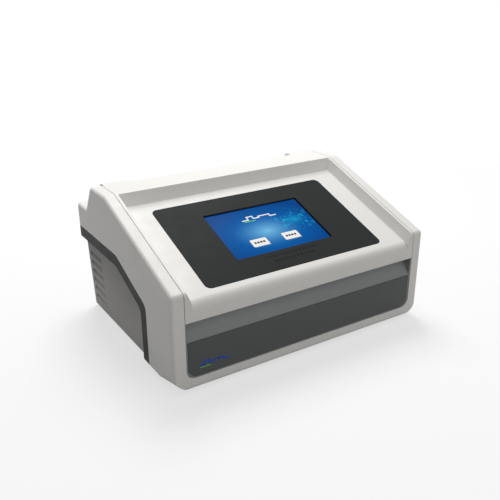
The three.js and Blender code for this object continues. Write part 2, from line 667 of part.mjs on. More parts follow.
function lidShell() {
  const floorFoot = SLOPE_LENGTH - REAR_BAR_INSET - REAR_BAR_DRAFT;
  const footHalf = LID_HALF - RAIL_WIDTH - RAIL_DRAFT;
  const railBlank = prismX(
    [
      [0, LID_BOTTOM, 1],
      [LID_REAR_Y, LID_BOTTOM],
      [LID_REAR_Y, TOP_HEIGHT, 3],
      [SLOPE_END_Y, TOP_HEIGHT, SIDE_KNEE_RADIUS],
      [0, FRONT_HEIGHT, EDGE_RADIUS + 1.5],
    ],
    -LID_HALF,
    LID_HALF,
  );
  // The drafted hollow of the display floor, run out past the front and a little above the slope.
  const above = 1;
  const grow = (FLOOR_DROP + above) / FLOOR_DROP;
  const topHalf = footHalf + RAIL_DRAFT * grow;
  const hollowOutline = (half, end, radius) => [
    [-half, -OVERRUN],
    [half, -OVERRUN],
    [half, end, radius],
    [-half, end, radius],
  ];
  const hollow = inSlope(
    toSolid(
      loft(
        outline(hollowOutline(footHalf, floorFoot, HOLLOW_FOOT_RADIUS)),
        outline(hollowOutline(topHalf, floorFoot + REAR_BAR_DRAFT * grow, HOLLOW_TOP_RADIUS)),
        FLOOR,
        above,
      ),
    ),
  );
  const under = inSlope(box(-footHalf, footHalf, -OVERRUN, floorFoot, -2 * TOP_HEIGHT, FLOOR + 1));
  const slab = prismX(
    [
      [0, LID_BOTTOM, 1],
      [SLOPE_END_Y, LID_BOTTOM],
      [SLOPE_END_Y, lidFloorZ(SLOPE_END_Y)],
      [0, lidFloorZ(0), BULLNOSE_RADIUS],
    ],
    -LID_HALF,
    LID_HALF,
  );
  const floorUnderZ = (y) => lidFloorZ(y) - FLOOR_THICKNESS / Math.cos(SLOPE);
  const inner = LID_HALF - WALL;
  const cavityEnd = SLOPE_END_Y - CAVITY_INSET;
  const cavity = prismX(
    [
      [WALL, LID_BOTTOM - 1],
      [LID_REAR_Y - WALL, LID_BOTTOM - 1],
      [LID_REAR_Y - WALL, floorUnderZ(cavityEnd)],
      [cavityEnd, floorUnderZ(cavityEnd)],
      [WALL, floorUnderZ(WALL), BULLNOSE_RADIUS - WALL],
    ],
    -inner,
    inner,
  );
  const barPocket = box(
    -footHalf, footHalf, SLOPE_END_Y + WALL, LID_REAR_Y - WALL, LID_BOTTOM, TOP_HEIGHT - WALL,
  );
  const seat = inSlope(prismZ(bezelOutline(-FIT), BEZEL_FOOT - FIT, FLOOR + 5));
  const window = inSlope(prismZ(bezelOutline(BEZEL_SEAT), FLOOR - FLOOR_THICKNESS - 5, FLOOR + 5));
  const knuckles = SIDES.flatMap(([, side]) => [
    rodXSide(side, HINGE_Y, HINGE_Z, KNUCKLE_RADIUS, KNUCKLE_OUTER - KNUCKLE_WIDTH, KNUCKLE_OUTER),
    sideBox(side, KNUCKLE_OUTER - KNUCKLE_WIDTH, KNUCKLE_OUTER, LID_REAR_Y - WALL, HINGE_Y,
      HINGE_Z - KNUCKLE_RADIUS, TOP_HEIGHT),
  ]);
  const knuckleCuts = SIDES.flatMap(([, side]) => [
    rodXSide(side, HINGE_Y, HINGE_Z, PIN_RADIUS + PIN_RUNNING_GAP, KNUCKLE_OUTER - KNUCKLE_WIDTH - 1,
      KNUCKLE_OUTER + 1),
    earSlot(side, HINGE_Y - KNUCKLE_RADIUS - 1, HINGE_Z - KNUCKLE_RADIUS - 1, TOP_HEIGHT - KNUCKLE_SKIN),
    earSlot(side, HINGE_Y + SKIN_REACH, HINGE_Z, TOP_HEIGHT + 1),
  ]);
  const rails = cut(railBlank, hollow, under);
  const body = cut(join(rails, slab), cavity, barPocket, seat, window);
  return cut(join(body, ...knuckles), ...knuckleCuts);
}

// A cutter for the slot that a hinge ear stands in, from a distance behind the front to past the knuckle.
const earSlot = (side, y, z0, z1) =>
  sideBox(side, KNUCKLE_CENTRE - EAR_THICKNESS / 2 - FIT, KNUCKLE_CENTRE + EAR_THICKNESS / 2 + FIT,
    y, HINGE_Y + KNUCKLE_RADIUS + 1, z0, z1);

function rodXSide(side, y, z, radius, near, far) {
  return rodX(y, z, radius, Math.min(side * near, side * far), Math.max(side * near, side * far));
}

// The bezel's outline in the display's frame, moved in by a margin.
function bezelOutline(margin) {
  return rectangle(
    DISPLAY_SHIFT - BEZEL_WIDTH / 2 + margin,
    DISPLAY_SHIFT + BEZEL_WIDTH / 2 - margin,
    BEZEL_START + margin,
    BEZEL_START + BEZEL_LENGTH - margin,
    BEZEL_RADIUS - margin,
  );
}

const screenOutline = (border, radius = 0) =>
  rectangle(
    DISPLAY_SHIFT - SCREEN_WIDTH / 2 - border,
    DISPLAY_SHIFT + SCREEN_WIDTH / 2 + border,
    SCREEN_CENTRE - SCREEN_LENGTH / 2 - border,
    SCREEN_CENTRE + SCREEN_LENGTH / 2 + border,
    radius,
  );

function displayBracket() {
  const tray = prismZ(bezelOutline(-BRACKET_RIM), BRACKET_FLOOR - SHEET, FLOOR - FLOOR_THICKNESS - FIT);
  const room = prismZ(bezelOutline(SHEET - BRACKET_RIM), BRACKET_FLOOR, FLOOR);
  return tray.subtract(room);
}

// Components on the display's board, about the screen's centre: x, x, v, v and height.
const DRIVER_CHIPS = [
  [-20, 5, -12, 13, 3],
  [20, 44, 4, 20, 3],
  [-50, -34, -20, 16, 4],
];

function displayBoard() {
  const top = BRACKET_FLOOR - SHEET - FIT;
  const foot = top - STANDOFF;
  const postX = DRIVER_HALF_X - 8;
  const postV = DRIVER_HALF_V - 7;
  const board = box(-DRIVER_HALF_X, DRIVER_HALF_X, SCREEN_CENTRE - DRIVER_HALF_V, SCREEN_CENTRE + DRIVER_HALF_V,
    foot - BOARD_SIZE[2], foot);
  const posts = [-postX, postX].flatMap((x) =>
    [-postV, postV].map((v) => rodZ(x, SCREEN_CENTRE + v, STANDOFF_RADIUS, foot - 1, top, 10)),
  );
  const chips = DRIVER_CHIPS.map(([x0, x1, v0, v1, height]) =>
    box(x0, x1, SCREEN_CENTRE + v0, SCREEN_CENTRE + v1, foot - 1 - height, foot - 1),
  );
  return join(board, ...posts, ...chips);
}

function lidLiner() {
  const half = LID_HALF - WALL - FIT;
  const plate = box(-half, half, WALL + FIT, LID_REAR_Y - WALL - FIT, LID_BOTTOM, LINER_TOP);
  const mouth = blockPrism(COVER_HALF_X - BLOCK_WIDTH / 2 + 1, LID_BOTTOM - 1, LINER_TOP + 1);
  const pocket = catchBox(FIT, LID_BOTTOM - 1, LID_BOTTOM + CATCH_PLATE_THICKNESS);
  return cut(plate, mouth, pocket);
}

// A rounded block-shaped prism around the sample block, larger by a border.
const blockPrism = (border, z0, z1, radius = 4) =>
  prismZ(
    rectangle(
      -BLOCK_WIDTH / 2 - border,
      BLOCK_WIDTH / 2 + border,
      BLOCK_CENTRE_Y - BLOCK_LENGTH / 2 - border,
      BLOCK_CENTRE_Y + BLOCK_LENGTH / 2 + border,
      radius,
    ),
    z0,
    z1,
  );

function catchBox(gap, z0, z1) {
  const reach = CATCH_HALF_Y + gap;
  return box(-CATCH_HALF_X - gap, CATCH_HALF_X + gap, CATCH_Y - reach, CATCH_Y + reach, z0, z1);
}

add("lid_shell", lidShell(), WHITE);
add("lid_liner", lidLiner(), DARK);
add("catch_plate", catchBox(0, LID_BOTTOM - FIT, LID_BOTTOM + CATCH_PLATE_THICKNESS), STEEL);
add(
  "lid_gasket",
  blockPrism(GASKET_START + GASKET_WIDTH, DECK_TOP + FIT, LID_BOTTOM, 8).subtract(
    blockPrism(GASKET_START, DECK_TOP, LID_BOTTOM + 1, 5),
  ),
  RUBBER,
);

const bezelSolid = prismZ(bezelOutline(0), BEZEL_FOOT, FLOOR + BEZEL_PROUD);
const screenWindow = prismZ(screenOutline(0, 1.5), BEZEL_FOOT - 1, FLOOR + BEZEL_PROUD + 1);
add("screen_bezel", bezelSolid.subtract(screenWindow), BEZEL_GREY, display);
add("touch_panel", prismZ(screenOutline(TOUCH_BORDER), TOUCH_TOP - TOUCH_THICKNESS, TOUCH_TOP), GLASS, display);
add("lcd_module", prismZ(screenOutline(TOUCH_BORDER - 1), LCD_TOP - LCD_THICKNESS, LCD_TOP), STEEL, display);
add("display_bracket", displayBracket(), STEEL, display);
const driver = add("display_board", displayBoard(), BOARD_GREEN, display);
driver.position.x = DISPLAY_SHIFT;

// ---------------------------------------------------------------- lid hinge

function hingeBracket(side) {
  const ear = sidePrism(
    side,
    [
      [TOWER_Y + WALL, LEDGE_HEIGHT],
      [TOWER_Y + EAR_FOOT_LENGTH, LEDGE_HEIGHT],
      [HINGE_Y + EAR_REACH, HINGE_Z - EAR_THICKNESS / 2, EAR_THICKNESS / 2],
      [HINGE_Y + EAR_REACH, HINGE_Z + EAR_REACH, EAR_REACH - FIT],
      [HINGE_Y - KNUCKLE_RADIUS / 2, HINGE_Z + EAR_REACH, EAR_THICKNESS],
      [HINGE_Y - KNUCKLE_RADIUS / 2, HINGE_Z - KNUCKLE_RADIUS, EAR_THICKNESS],
    ],
    KNUCKLE_CENTRE - EAR_THICKNESS / 2,
    KNUCKLE_CENTRE + EAR_THICKNESS / 2,
  );
  const plate = prismZ(
    rectangle(
      side * KNUCKLE_CENTRE - KNUCKLE_WIDTH / 2,
      side * KNUCKLE_CENTRE + KNUCKLE_WIDTH / 2,
      TOWER_Y + WALL,
      TOWER_Y + EAR_FOOT_LENGTH + WALL,
      WALL,
    ),
    LEDGE_HEIGHT,
    LEDGE_HEIGHT + WALL,
  );
  const bore = rodX(HINGE_Y, HINGE_Z, PIN_RADIUS + FIT / 3, -HALF, HALF);
  const ledgeEnd = side * (BAY_HALF - FIT);
  const clear = box(Math.min(ledgeEnd, side * HALF), Math.max(ledgeEnd, side * HALF), 0, DEPTH, 0, TOP_HEIGHT);
  return cut(join(ear, plate), bore, clear);
}

SIDES.forEach(([name, side]) => {
  add(`hinge_bracket_${name}`, hingeBracket(side), STEEL);
  const near = KNUCKLE_OUTER - KNUCKLE_WIDTH + 1;
  const pin = rodXSide(side, HINGE_Y, HINGE_Z, PIN_RADIUS, near, KNUCKLE_OUTER - 1);
  add(`hinge_pin_${name}`, pin, STEEL);
});

// ---------------------------------------------------------------- deck and sample block

function deckPlate() {
  const half = BAY_HALF - FIT;
  const plate = box(-half, half, GRIP_DEPTH + FIT, TOWER_Y - FIT, DECK_BOTTOM, DECK_TOP);
  const mouth = blockPrism(SURROUND_BORDER + FIT, DECK_BOTTOM - 1, DECK_TOP + 1);
  const magnetHole = catchBox(FIT, DECK_BOTTOM - 1, DECK_TOP + 1);
  return cut(plate, mouth, magnetHole);
}

function blockSurround() {
  return cut(
    join(
      blockPrism(SURROUND_BORDER, DECK_BOTTOM - SURROUND_DROP, DECK_TOP),
      blockPrism(SURROUND_BORDER + SURROUND_FLANGE, DECK_BOTTOM - SURROUND_DROP, DECK_BOTTOM),
    ),
    blockPrism(BLOCK_GAP, DECK_BOTTOM - SURROUND_DROP - 1, DECK_TOP + 1, 3),
  );
}

function sampleBlock() {
  const block = blockPrism(0, BLOCK_FOOT, BLOCK_TOP, 2);
  const wells = [];
  for (let column = 0; column < WELL_COLUMNS; column += 1) {
    for (let row = 0; row < WELL_ROWS; row += 1) {
      const x = (column - (WELL_COLUMNS - 1) / 2) * WELL_PITCH;
      const y = BLOCK_CENTRE_Y + (row - (WELL_ROWS - 1) / 2) * WELL_PITCH;
      wells.push(rodZ(x, y, WELL_TOP_RADIUS, BLOCK_TOP - WELL_DEPTH, BLOCK_TOP, 8, WELL_FOOT_RADIUS));
    }
  }
  return cut(block, ...wells);
}

function heatSink() {
  const half = BLOCK_WIDTH / 2 + SINK_BORDER_X;
  const finHalf = half - FIN_SIDE_INSET;
  const reach = BLOCK_LENGTH / 2 + SINK_BORDER_Y;
  const y0 = BLOCK_CENTRE_Y - reach;
  const y1 = BLOCK_CENTRE_Y + reach;
  const fins = Array.from({ length: FIN_COUNT }, (_, k) => {
    const x = -finHalf + (k * (2 * finHalf - FIN_THICKNESS)) / (FIN_COUNT - 1);
    return box(x, x + FIN_THICKNESS, y0, y1, SINK_FOOT - FIN_LENGTH, SINK_FOOT + 1);
  });
  return join(box(-half, half, y0, y1, SINK_FOOT, SINK_TOP), ...fins);
}

add("deck_plate", deckPlate(), DARK);
add("block_surround", blockSurround(), DARK);
add("sample_block", sampleBlock(), ALUMINIUM);
const PELTIER_PLACES = [-1, 0, 1].flatMap((i) => [-0.5, 0.5].map((j) => [i, j]));
PELTIER_PLACES.forEach(([i, j], k) => {
  const x = i * (PELTIER_SIZE + BLOCK_GAP);
  const y = BLOCK_CENTRE_Y + j * (PELTIER_SIZE + BLOCK_GAP);
  const reach = PELTIER_SIZE / 2;
  const module = box(x - reach, x + reach, y - reach, y + reach, SINK_TOP, BLOCK_FOOT);
  add(`peltier_module_${k + 1}`, module, CERAMIC);
});
add("heat_sink", heatSink(), ALUMINIUM);
const magnetTop = DECK_TOP + FIT;
const magnetBody = catchBox(0, magnetTop - MAGNET_HEIGHT, magnetTop);
const magnetFlange = catchBox(MAGNET_FLANGE, DECK_BOTTOM - MAGNET_FLANGE, DECK_BOTTOM);
add("catch_magnet", join(magnetBody, magnetFlange), DARK);

// ---------------------------------------------------------------- heated cover

function heaterCarrier() {
  const plate = blockPrism(CARRIER_BORDER, CARRIER_FOOT, CARRIER_TOP);
  const legX = BLOCK_WIDTH / 2 + CARRIER_BORDER - CARRIER_LEG_INSET;
  const legY = BLOCK_LENGTH / 2 + CARRIER_BORDER - CARRIER_LEG_INSET;
  const legs = [-legX, legX].flatMap((x) =>
    [BLOCK_CENTRE_Y - legY, BLOCK_CENTRE_Y + legY].map((y) =>
      rodZ(x, y, CARRIER_LEG_RADIUS, LINER_TOP, CARRIER_FOOT + 1, 12),
    ),
  );
  const holes = guidePlaces().map(([x, y]) =>
    rodZ(x, y, GUIDE_RADIUS + 2 * FIT, CARRIER_FOOT - 1, CARRIER_TOP + 1, 12),
  );
  return cut(join(plate, ...legs), ...holes);
}

const guidePlaces = () =>
  [-1, 1].flatMap((i) => [-1, 1].map((j) => [i * GUIDE_X, BLOCK_CENTRE_Y + j * GUIDE_Y]));

class Helix extends THREE.Curve {
  constructor(radius, height, turns) {
    super();
    Object.assign(this, { radius, height, turns });
  }

  getPoint(t, target = new THREE.Vector3()) {
    const angle = t * this.turns * 2 * Math.PI;
    return target.set(this.radius * Math.cos(angle), this.radius * Math.sin(angle), this.height * t);
  }
}

function plateSpring(x, y) {
  const low = COVER_TOP + FIT + SPRING_WIRE_RADIUS;
  const high = CARRIER_FOOT - FIT - SPRING_WIRE_RADIUS;
  const reach = SPRING_WIRE_RADIUS;
  const wire = new THREE.Shape(outline(rectangle(-reach, reach, -reach, reach)));
  const geometry = new THREE.ExtrudeGeometry(wire, {
    steps: SPRING_TURNS * 10,
    extrudePath: new Helix(SPRING_RADIUS, high - low, SPRING_TURNS),
  });
  return toSolid(geometry.translate(x, y, low));
}

add("heater_carrier", heaterCarrier(), STEEL);
const coverPlate = box(
  -COVER_HALF_X, COVER_HALF_X,
  BLOCK_CENTRE_Y - COVER_HALF_Y, BLOCK_CENTRE_Y + COVER_HALF_Y,
  COVER_FOOT, COVER_TOP,
);
add("heater_plate", coverPlate, ALUMINIUM);
add("heater_pad", blockPrism(-PAD_INSET, COVER_TOP, COVER_TOP + PAD_THICKNESS), SILICONE);
guidePlaces().forEach(([x, y], i) => {
  const head = CARRIER_TOP + FIT;
  const guide = join(
    rodZ(x, y, GUIDE_RADIUS, COVER_TOP, head + 1, 12),
    rodZ(x, y, GUIDE_HEAD_RADIUS, head, head + GUIDE_HEAD, 12),
  );
  add(`plate_guide_${i + 1}`, guide, STEEL);
  add(`plate_spring_${i + 1}`, plateSpring(x, y), STEEL);
});

// ---------------------------------------------------------------- cooling, power and electronics

function fanFrame(side) {
  const half = FAN_SIZE / 2;
  const bar = (start, end, halfY, halfZ) =>
    sideBox(side, start, end, FAN_Y - halfY, FAN_Y + halfY, FAN_HEIGHT - halfZ, FAN_HEIGHT + halfZ);
  const frame = bar(FAN_INNER, FAN_OUTER, half, half);
  const bore = rodXSide(side, FAN_Y, FAN_HEIGHT, half - FAN_RIM, FAN_INNER - 1, FAN_OUTER + 1);
  const hub = rodXSide(side, FAN_Y, FAN_HEIGHT, FAN_MOTOR_RADIUS, FAN_INNER, FAN_INNER + WALL);
  const struts = [
    bar(FAN_INNER, FAN_INNER + WALL, FAN_RIM, half),
    bar(FAN_INNER, FAN_INNER + WALL, half, FAN_RIM),
  ];
  return join(frame.subtract(bore), hub, ...struts);
}

function fanRotor(side) {
  const start = FAN_INNER + WALL + FIT;
  const end = FAN_OUTER - WALL;
  const middle = (side * (start + end)) / 2;
  const hub = rodXSide(side, FAN_Y, FAN_HEIGHT, FAN_HUB_RADIUS, start, end);
  const tip = FAN_SIZE / 2 - FAN_RIM - BLADE_TIP_GAP;
  const blades = Array.from({ length: BLADES }, (_, k) => {
    const blade = new THREE.BoxGeometry(...BLADE_SIZE, tip - BLADE_ROOT)
      .rotateZ((side * Math.PI) / 4)
      .translate(0, 0, (tip + BLADE_ROOT) / 2)
      .rotateX((k * 2 * Math.PI) / BLADES)
      .translate(middle, FAN_Y, FAN_HEIGHT);
    return toSolid(blade);
  });
  return join(hub, ...blades);
}

SIDES.forEach(([name, side]) => {
  add(`fan_frame_${name}`, fanFrame(side), DARK);
  add(`fan_rotor_${name}`, fanRotor(side), DARK);
});

function powerSupply() {
  const [width, length, height] = PSU_SIZE;
  const x0 = FIT - LEG_INNER;
  const y0 = ELECTRONICS_START;
  const can = box(x0, x0 + width, y0, y0 + length, TRAY_TOP, TRAY_TOP + height);
  const slots = Array.from({ length: PSU_SLOT_COUNT }, (_, k) => {
    const y = y0 + 24 + k * 14;
    return box(x0 + 12, x0 + width - 12, y, y + 5, TRAY_TOP + height - SHEET, TRAY_TOP + height + 1);
  });
  return cut(can, ...slots);
}

// Components on the main board, from its front left corner: x, x, y, y and height.
const BOARD_PARTS = [
  [10, 40, 20, 50, 3],
  [50, 72, 14, 60, 12],
  [12, 60, 70, 92, 18],
  [8, 70, 110, 122, 9],
];
const CAPACITORS = { places: [[20, 140], [38, 140]], radius: 6, height: 20 };

function mainBoard() {
  const [width, length, thickness] = BOARD_SIZE;
  const x1 = LEG_INNER - FIT;
  const x0 = x1 - width;
  const y0 = ELECTRONICS_START;
  const foot = TRAY_TOP + STANDOFF;
  const top = foot + thickness;
  const posts = [x0 + 5, x1 - 5].flatMap((x) =>
    [y0 + 5, y0 + length - 5].map((y) => rodZ(x, y, STANDOFF_RADIUS, TRAY_TOP, foot + 1, 10)),
  );
  const parts = BOARD_PARTS.map(([xa, xb, ya, yb, height]) =>
    box(x0 + xa, x0 + xb, y0 + ya, y0 + yb, top - 1, top + height),
  );
  const cans = CAPACITORS.places.map(([x, y]) =>
    rodZ(x0 + x, y0 + y, CAPACITORS.radius, top - 1, top + CAPACITORS.height, 14),
  );
  return join(box(x0, x1, y0, y0 + length, foot, top), ...posts, ...parts, ...cans);
}

add("power_supply", powerSupply(), STEEL);
add("main_board", mainBoard(), BOARD_GREEN);

// ---------------------------------------------------------------- rear panel and its fittings

// A fitting in the rear panel: a body behind the sheet and a flange outside it.
function fitting(x, halfX, z0, z1, depth, lip = LIP, earX = lip) {
  const body = box(x - halfX, x + halfX, -depth, FIT + 1, z0, z1);
  const rim = rectangle(x - halfX - earX, x + halfX + earX, z0 - lip, z1 + lip, FLANGE);
  const flange = prismY(rim, FIT, FIT + FLANGE);
  return join(body, flange);
}

function rearPanel() {
  const half = PANEL_BACK - 2 * FIT;
  const sheet = box(-half, half, -SHEET_THICKNESS, 0, 1, REAR_LENGTH - 1);
  const holes = [
    box(INLET.x - INLET.half - FIT, INLET.x + INLET.half + FIT, -9, 9,
      INLET.z + INLET.low - FIT, INLET.z + INLET.high + FIT),
    ...[SWITCH, USB, NETWORK].map(({ x, z, halfX, halfZ }) =>
      box(x - halfX - FIT, x + halfX + FIT, -9, 9, z - halfZ - FIT, z + halfZ + FIT),
    ),
  ];
  const { count, start, pitch, width, low, high } = REAR_SLOTS;
  const slots = Array.from({ length: count }, (_, k) =>
    prismY(rectangle(start + k * pitch, start + k * pitch + width, low, high, width / 2.1), -9, 9),
  );
  return cut(sheet, ...holes, ...slots);
}

function powerInlet() {
  const { x, z, half, low, high, depth } = INLET;
  const whole = fitting(x, half, z + low, z + high, depth, LIP, 9);
  const mouth = prismY(
    [
      [x - 11.5, z - 7.5, 1],
      [x + 11.5, z - 7.5, 1],
      [x + 11.5, z + 3, 1],
      [x + 7, z + 7.5, 1],
      [x - 7, z + 7.5, 1],
      [x - 11.5, z + 3, 1],
    ],
    -depth + 5,
    FIT + FLANGE + 1,
  );
  const pins = [
    [-7, -1.5],
    [0, 2.5],
    [7, -1.5],
  ].map(([dx, dz]) => box(x + dx - 1, x + dx + 1, -depth + 4, -3, z + dz - 2, z + dz + 2));
  const drawerRoom = box(x - DRAWER.halfX - FIT, x + DRAWER.halfX + FIT, -depth + 1, FIT + FLANGE + 1,
    z + DRAWER.low - FIT, z + DRAWER.high + FIT);
  return join(cut(whole, mouth, drawerRoom), ...pins);
}

function fuseDrawer() {
  const { x, z } = INLET;
  const front = FIT + FLANGE;
  const { halfX, low, high, depth, wall } = DRAWER;
  const tray = box(x - halfX, x + halfX, -depth, front, z + low, z + high);
  const room = box(x - halfX + wall, x + halfX - wall, wall - depth, -1, z + low + wall, z + high + 1);
  const grip = box(x - 3, x + 3, front - 1, front + wall, z + low + 1, z + high - 1);
  return join(tray.subtract(room), grip);
}

function switchBody() {
  const { x, z, halfX, halfZ, depth } = SWITCH;
  const well = box(x - ROCKER.halfX - FIT, x + ROCKER.halfX + FIT, -depth + 4, FIT + FLANGE + 1,
    z - ROCKER.halfZ - 1, z + ROCKER.halfZ + 1);
  return fitting(x, halfX, z - halfZ, z + halfZ, depth, 2.5).subtract(well);
}

// The rocker is modelled upright about its pivot, then tipped to its off position.
function powerRocker() {
  const { halfX, halfZ } = ROCKER;
  return prismX(
    [
      [-4, -halfZ + 2, 1],
      [3.4, -halfZ, 0.6],
      [1.2, 0, 9],
      [3.4, halfZ, 0.6],
      [-4, halfZ - 2, 1],
    ],
    -halfX,
    halfX,
  );
}

const socket = ({ x, z, halfX, halfZ, depth, wall }) =>
  cut(
    box(x - halfX, x + halfX, -depth, 1, z - halfZ, z + halfZ),
    box(x - halfX + wall, x + halfX - wall, 3 - depth, 2, z - halfZ + wall, z + halfZ - wall),
  );

add("rear_panel", rearPanel(), GRAPHITE, rear);
add("power_inlet", powerInlet(), DARK, rear);
add("fuse_drawer", fuseDrawer(), DARK, rear);
add("power_switch_body", switchBody(), DARK, rear);
const rocker = add("power_rocker", powerRocker(), DARK, rear);
rocker.position.set(SWITCH.x, ROCKER.pivotY, SWITCH.z);
rocker.rotation.x = -ROCKER.tilt;
add("usb_port", socket(USB), STEEL, rear);
add("network_port", socket(NETWORK), STEEL, rear);

export default machine;
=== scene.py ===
"""Looks of the bench-top thermal cycler: casing, lid with display, heated cover, block and rear fittings."""

import json
import logging
import math
from dataclasses import dataclass
from enum import Enum, StrEnum
from typing import Callable, Sequence

import bmesh
import bpy
from mathutils import Matrix, Vector


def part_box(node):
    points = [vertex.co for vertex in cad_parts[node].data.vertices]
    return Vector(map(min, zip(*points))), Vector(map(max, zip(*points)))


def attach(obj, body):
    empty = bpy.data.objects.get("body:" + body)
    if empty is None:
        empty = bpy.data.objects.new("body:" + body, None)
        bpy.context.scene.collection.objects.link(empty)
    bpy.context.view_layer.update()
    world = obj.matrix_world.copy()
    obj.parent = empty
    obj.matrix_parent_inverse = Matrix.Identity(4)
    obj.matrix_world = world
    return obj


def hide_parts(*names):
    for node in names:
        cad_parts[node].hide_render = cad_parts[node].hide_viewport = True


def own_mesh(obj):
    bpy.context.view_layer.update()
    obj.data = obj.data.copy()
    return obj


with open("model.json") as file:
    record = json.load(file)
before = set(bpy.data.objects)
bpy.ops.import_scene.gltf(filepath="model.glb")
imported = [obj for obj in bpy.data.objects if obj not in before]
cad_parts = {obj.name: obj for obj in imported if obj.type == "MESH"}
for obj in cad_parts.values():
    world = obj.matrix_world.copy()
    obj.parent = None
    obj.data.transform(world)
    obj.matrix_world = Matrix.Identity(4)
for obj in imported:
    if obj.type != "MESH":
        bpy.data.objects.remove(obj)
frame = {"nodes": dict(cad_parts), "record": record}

Material = bpy.types.Material
Piece = bpy.types.Object
Socket = bpy.types.NodeSocket
Pair = tuple[float, float]
Triple = tuple[float, float, float]

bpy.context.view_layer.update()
MM = 0.001
TOUCH = 0.01 * MM
# Cosines above which two directions are roughly alike, run along each other, or are parallel.
ROUGHLY, ALONG, PARALLEL = 0.8, 0.95, 0.9999
log = logging.getLogger("thermal_cycler")


class Axis(Enum):
    """The direction that a turned piece's own axis points in."""

    X = "X"
    Y = "Y"
    Z = "Z"


class Side(StrEnum):
    """A side of the machine, seen from its front."""

    LEFT = "left"
    RIGHT = "right"


# ---------------- finishes


class Tree:
    """A node tree, with short calls for what the finishes and the studio share."""

    def __init__(self, owner: Material | bpy.types.World) -> None:
        """Opens a node tree.

        Args:
            owner: The material or the world that has it.
        """
        owner.use_nodes = True
        self.nodes = owner.node_tree.nodes
        self.links = owner.node_tree.links

    def fill(self, node: bpy.types.Node, sockets: dict[str | int, object]) -> bpy.types.Node:
        """Gives a node's inputs a constant or a link each, by name or number."""
        for key, value in sockets.items():
            if isinstance(value, Socket):
                self.links.new(value, node.inputs[key])
            else:
                node.inputs[key].default_value = value
        return node

    def node(self, kind: str, sockets: dict[str | int, object] | None = None,
             **settings: object) -> bpy.types.Node:
        """Adds a node.

        Args:
            kind: The node's type.
            sockets: A constant or a link for each input that is set.
            **settings: Properties of the node.

        Returns:
            The new node.
        """
        made = self.nodes.new(kind)
        for key, value in settings.items():
            setattr(made, key, value)
        return self.fill(made, sockets or {})

    def spread(self, value: Socket, low: float, high: float, from_low: float = 0.3,
               from_high: float = 0.7) -> Socket:
        """A value taken from one range to another: low where it is from_low, high where it is from_high."""
        sockets = {"Value": value, "From Min": from_low, "From Max": from_high, "To Min": low, "To Max": high}
        return self.node("ShaderNodeMapRange", sockets).outputs["Result"]

    def mathed(self, operation: str, first: object, second: object = 0.0) -> Socket:
        """A Math node on two values, each a socket or a number."""
        return self.node("ShaderNodeMath", {0: first, 1: second}, operation=operation).outputs[0]


class Shader(Tree):
    """A material's tree around its one Principled shader."""

    def __init__(self, material: Material) -> None:
        """Opens a material.

        Args:
            material: A new material, or a finished one to add to.
        """
        super().__init__(material)
        self.material = material
        self.principled = self.nodes["Principled BSDF"]
        self.place = self.node("ShaderNodeTexCoord").outputs["Object"]

    @classmethod
    def named(cls, name: str) -> "Shader":
        """Opens a new material of that name."""
        return cls(bpy.data.materials.new(name))

    def set(self, **values: object) -> None:
        """Sets or links the shader's own sockets, with underscores for the spaces in their names."""
        self.fill(self.principled, {key.replace("_", " "): value for key, value in values.items()})

    def mapped(self, vector: Socket, scale: Triple = (1, 1, 1), turn: Triple = (0, 0, 0)) -> Socket:
        """Coordinates scaled along each axis and turned about each axis."""
        return self.node("ShaderNodeMapping", {"Vector": vector, "Scale": scale, "Rotation": turn}).outputs[0]

    def noise(self, scale: float, detail: float = 2.0, vector: Socket | None = None) -> Socket:
        """A noise pattern.

        Args:
            scale: The noise's scale, in cycles per metre.
            detail: Its octaves.
            vector: Coordinates, or the plain Object coordinates.

        Returns:
            The noise's grey value.
        """
        sockets = {"Vector": vector or self.place, "Scale": scale, "Detail": detail}
        return self.node("ShaderNodeTexNoise", sockets).outputs["Fac"]

    def cells(self, scale: float, vector: Socket | None = None, **settings: object) -> Socket:
        """A cell pattern's distance, from plain Object coordinates or given ones."""
        sockets = {"Vector": vector or self.place, "Scale": scale}
        return self.node("ShaderNodeTexVoronoi", sockets, **settings).outputs["Distance"]

    def mix(self, share: Socket, first: object, second: object) -> Socket:
        """A mix of two colours, each a socket or three numbers.

        Args:
            share: How much of the second colour shows.
            first: The colour at 0.
            second: The colour at 1.

        Returns:
            The mixed colour.
        """
        ends = [colour if isinstance(colour, Socket) else (*colour, 1.0) for colour in (first, second)]
        return self.node("ShaderNodeMix", {0: share, 6: ends[0], 7: ends[1]}, data_type="RGBA").outputs[2]

    def bump(self, height: Socket, strength: float, depth: float) -> None:
        """Adds a bump of a strength and a depth in metres to the shader's normal."""
        made = self.node("ShaderNodeBump", {"Height": height, "Strength": strength, "Distance": depth})
        self.set(Normal=made.outputs["Normal"])


def shade(colour: Sequence[float], factor: float) -> Triple:
    """A colour made lighter or darker by a factor."""
    return tuple(min(1.0, channel * factor) for channel in colour)


@dataclass(frozen=True)
class Finish:
    """A surface that makes its own material."""

    name: str

    def build(self) -> Material:
        """Makes the material."""
        raise NotImplementedError


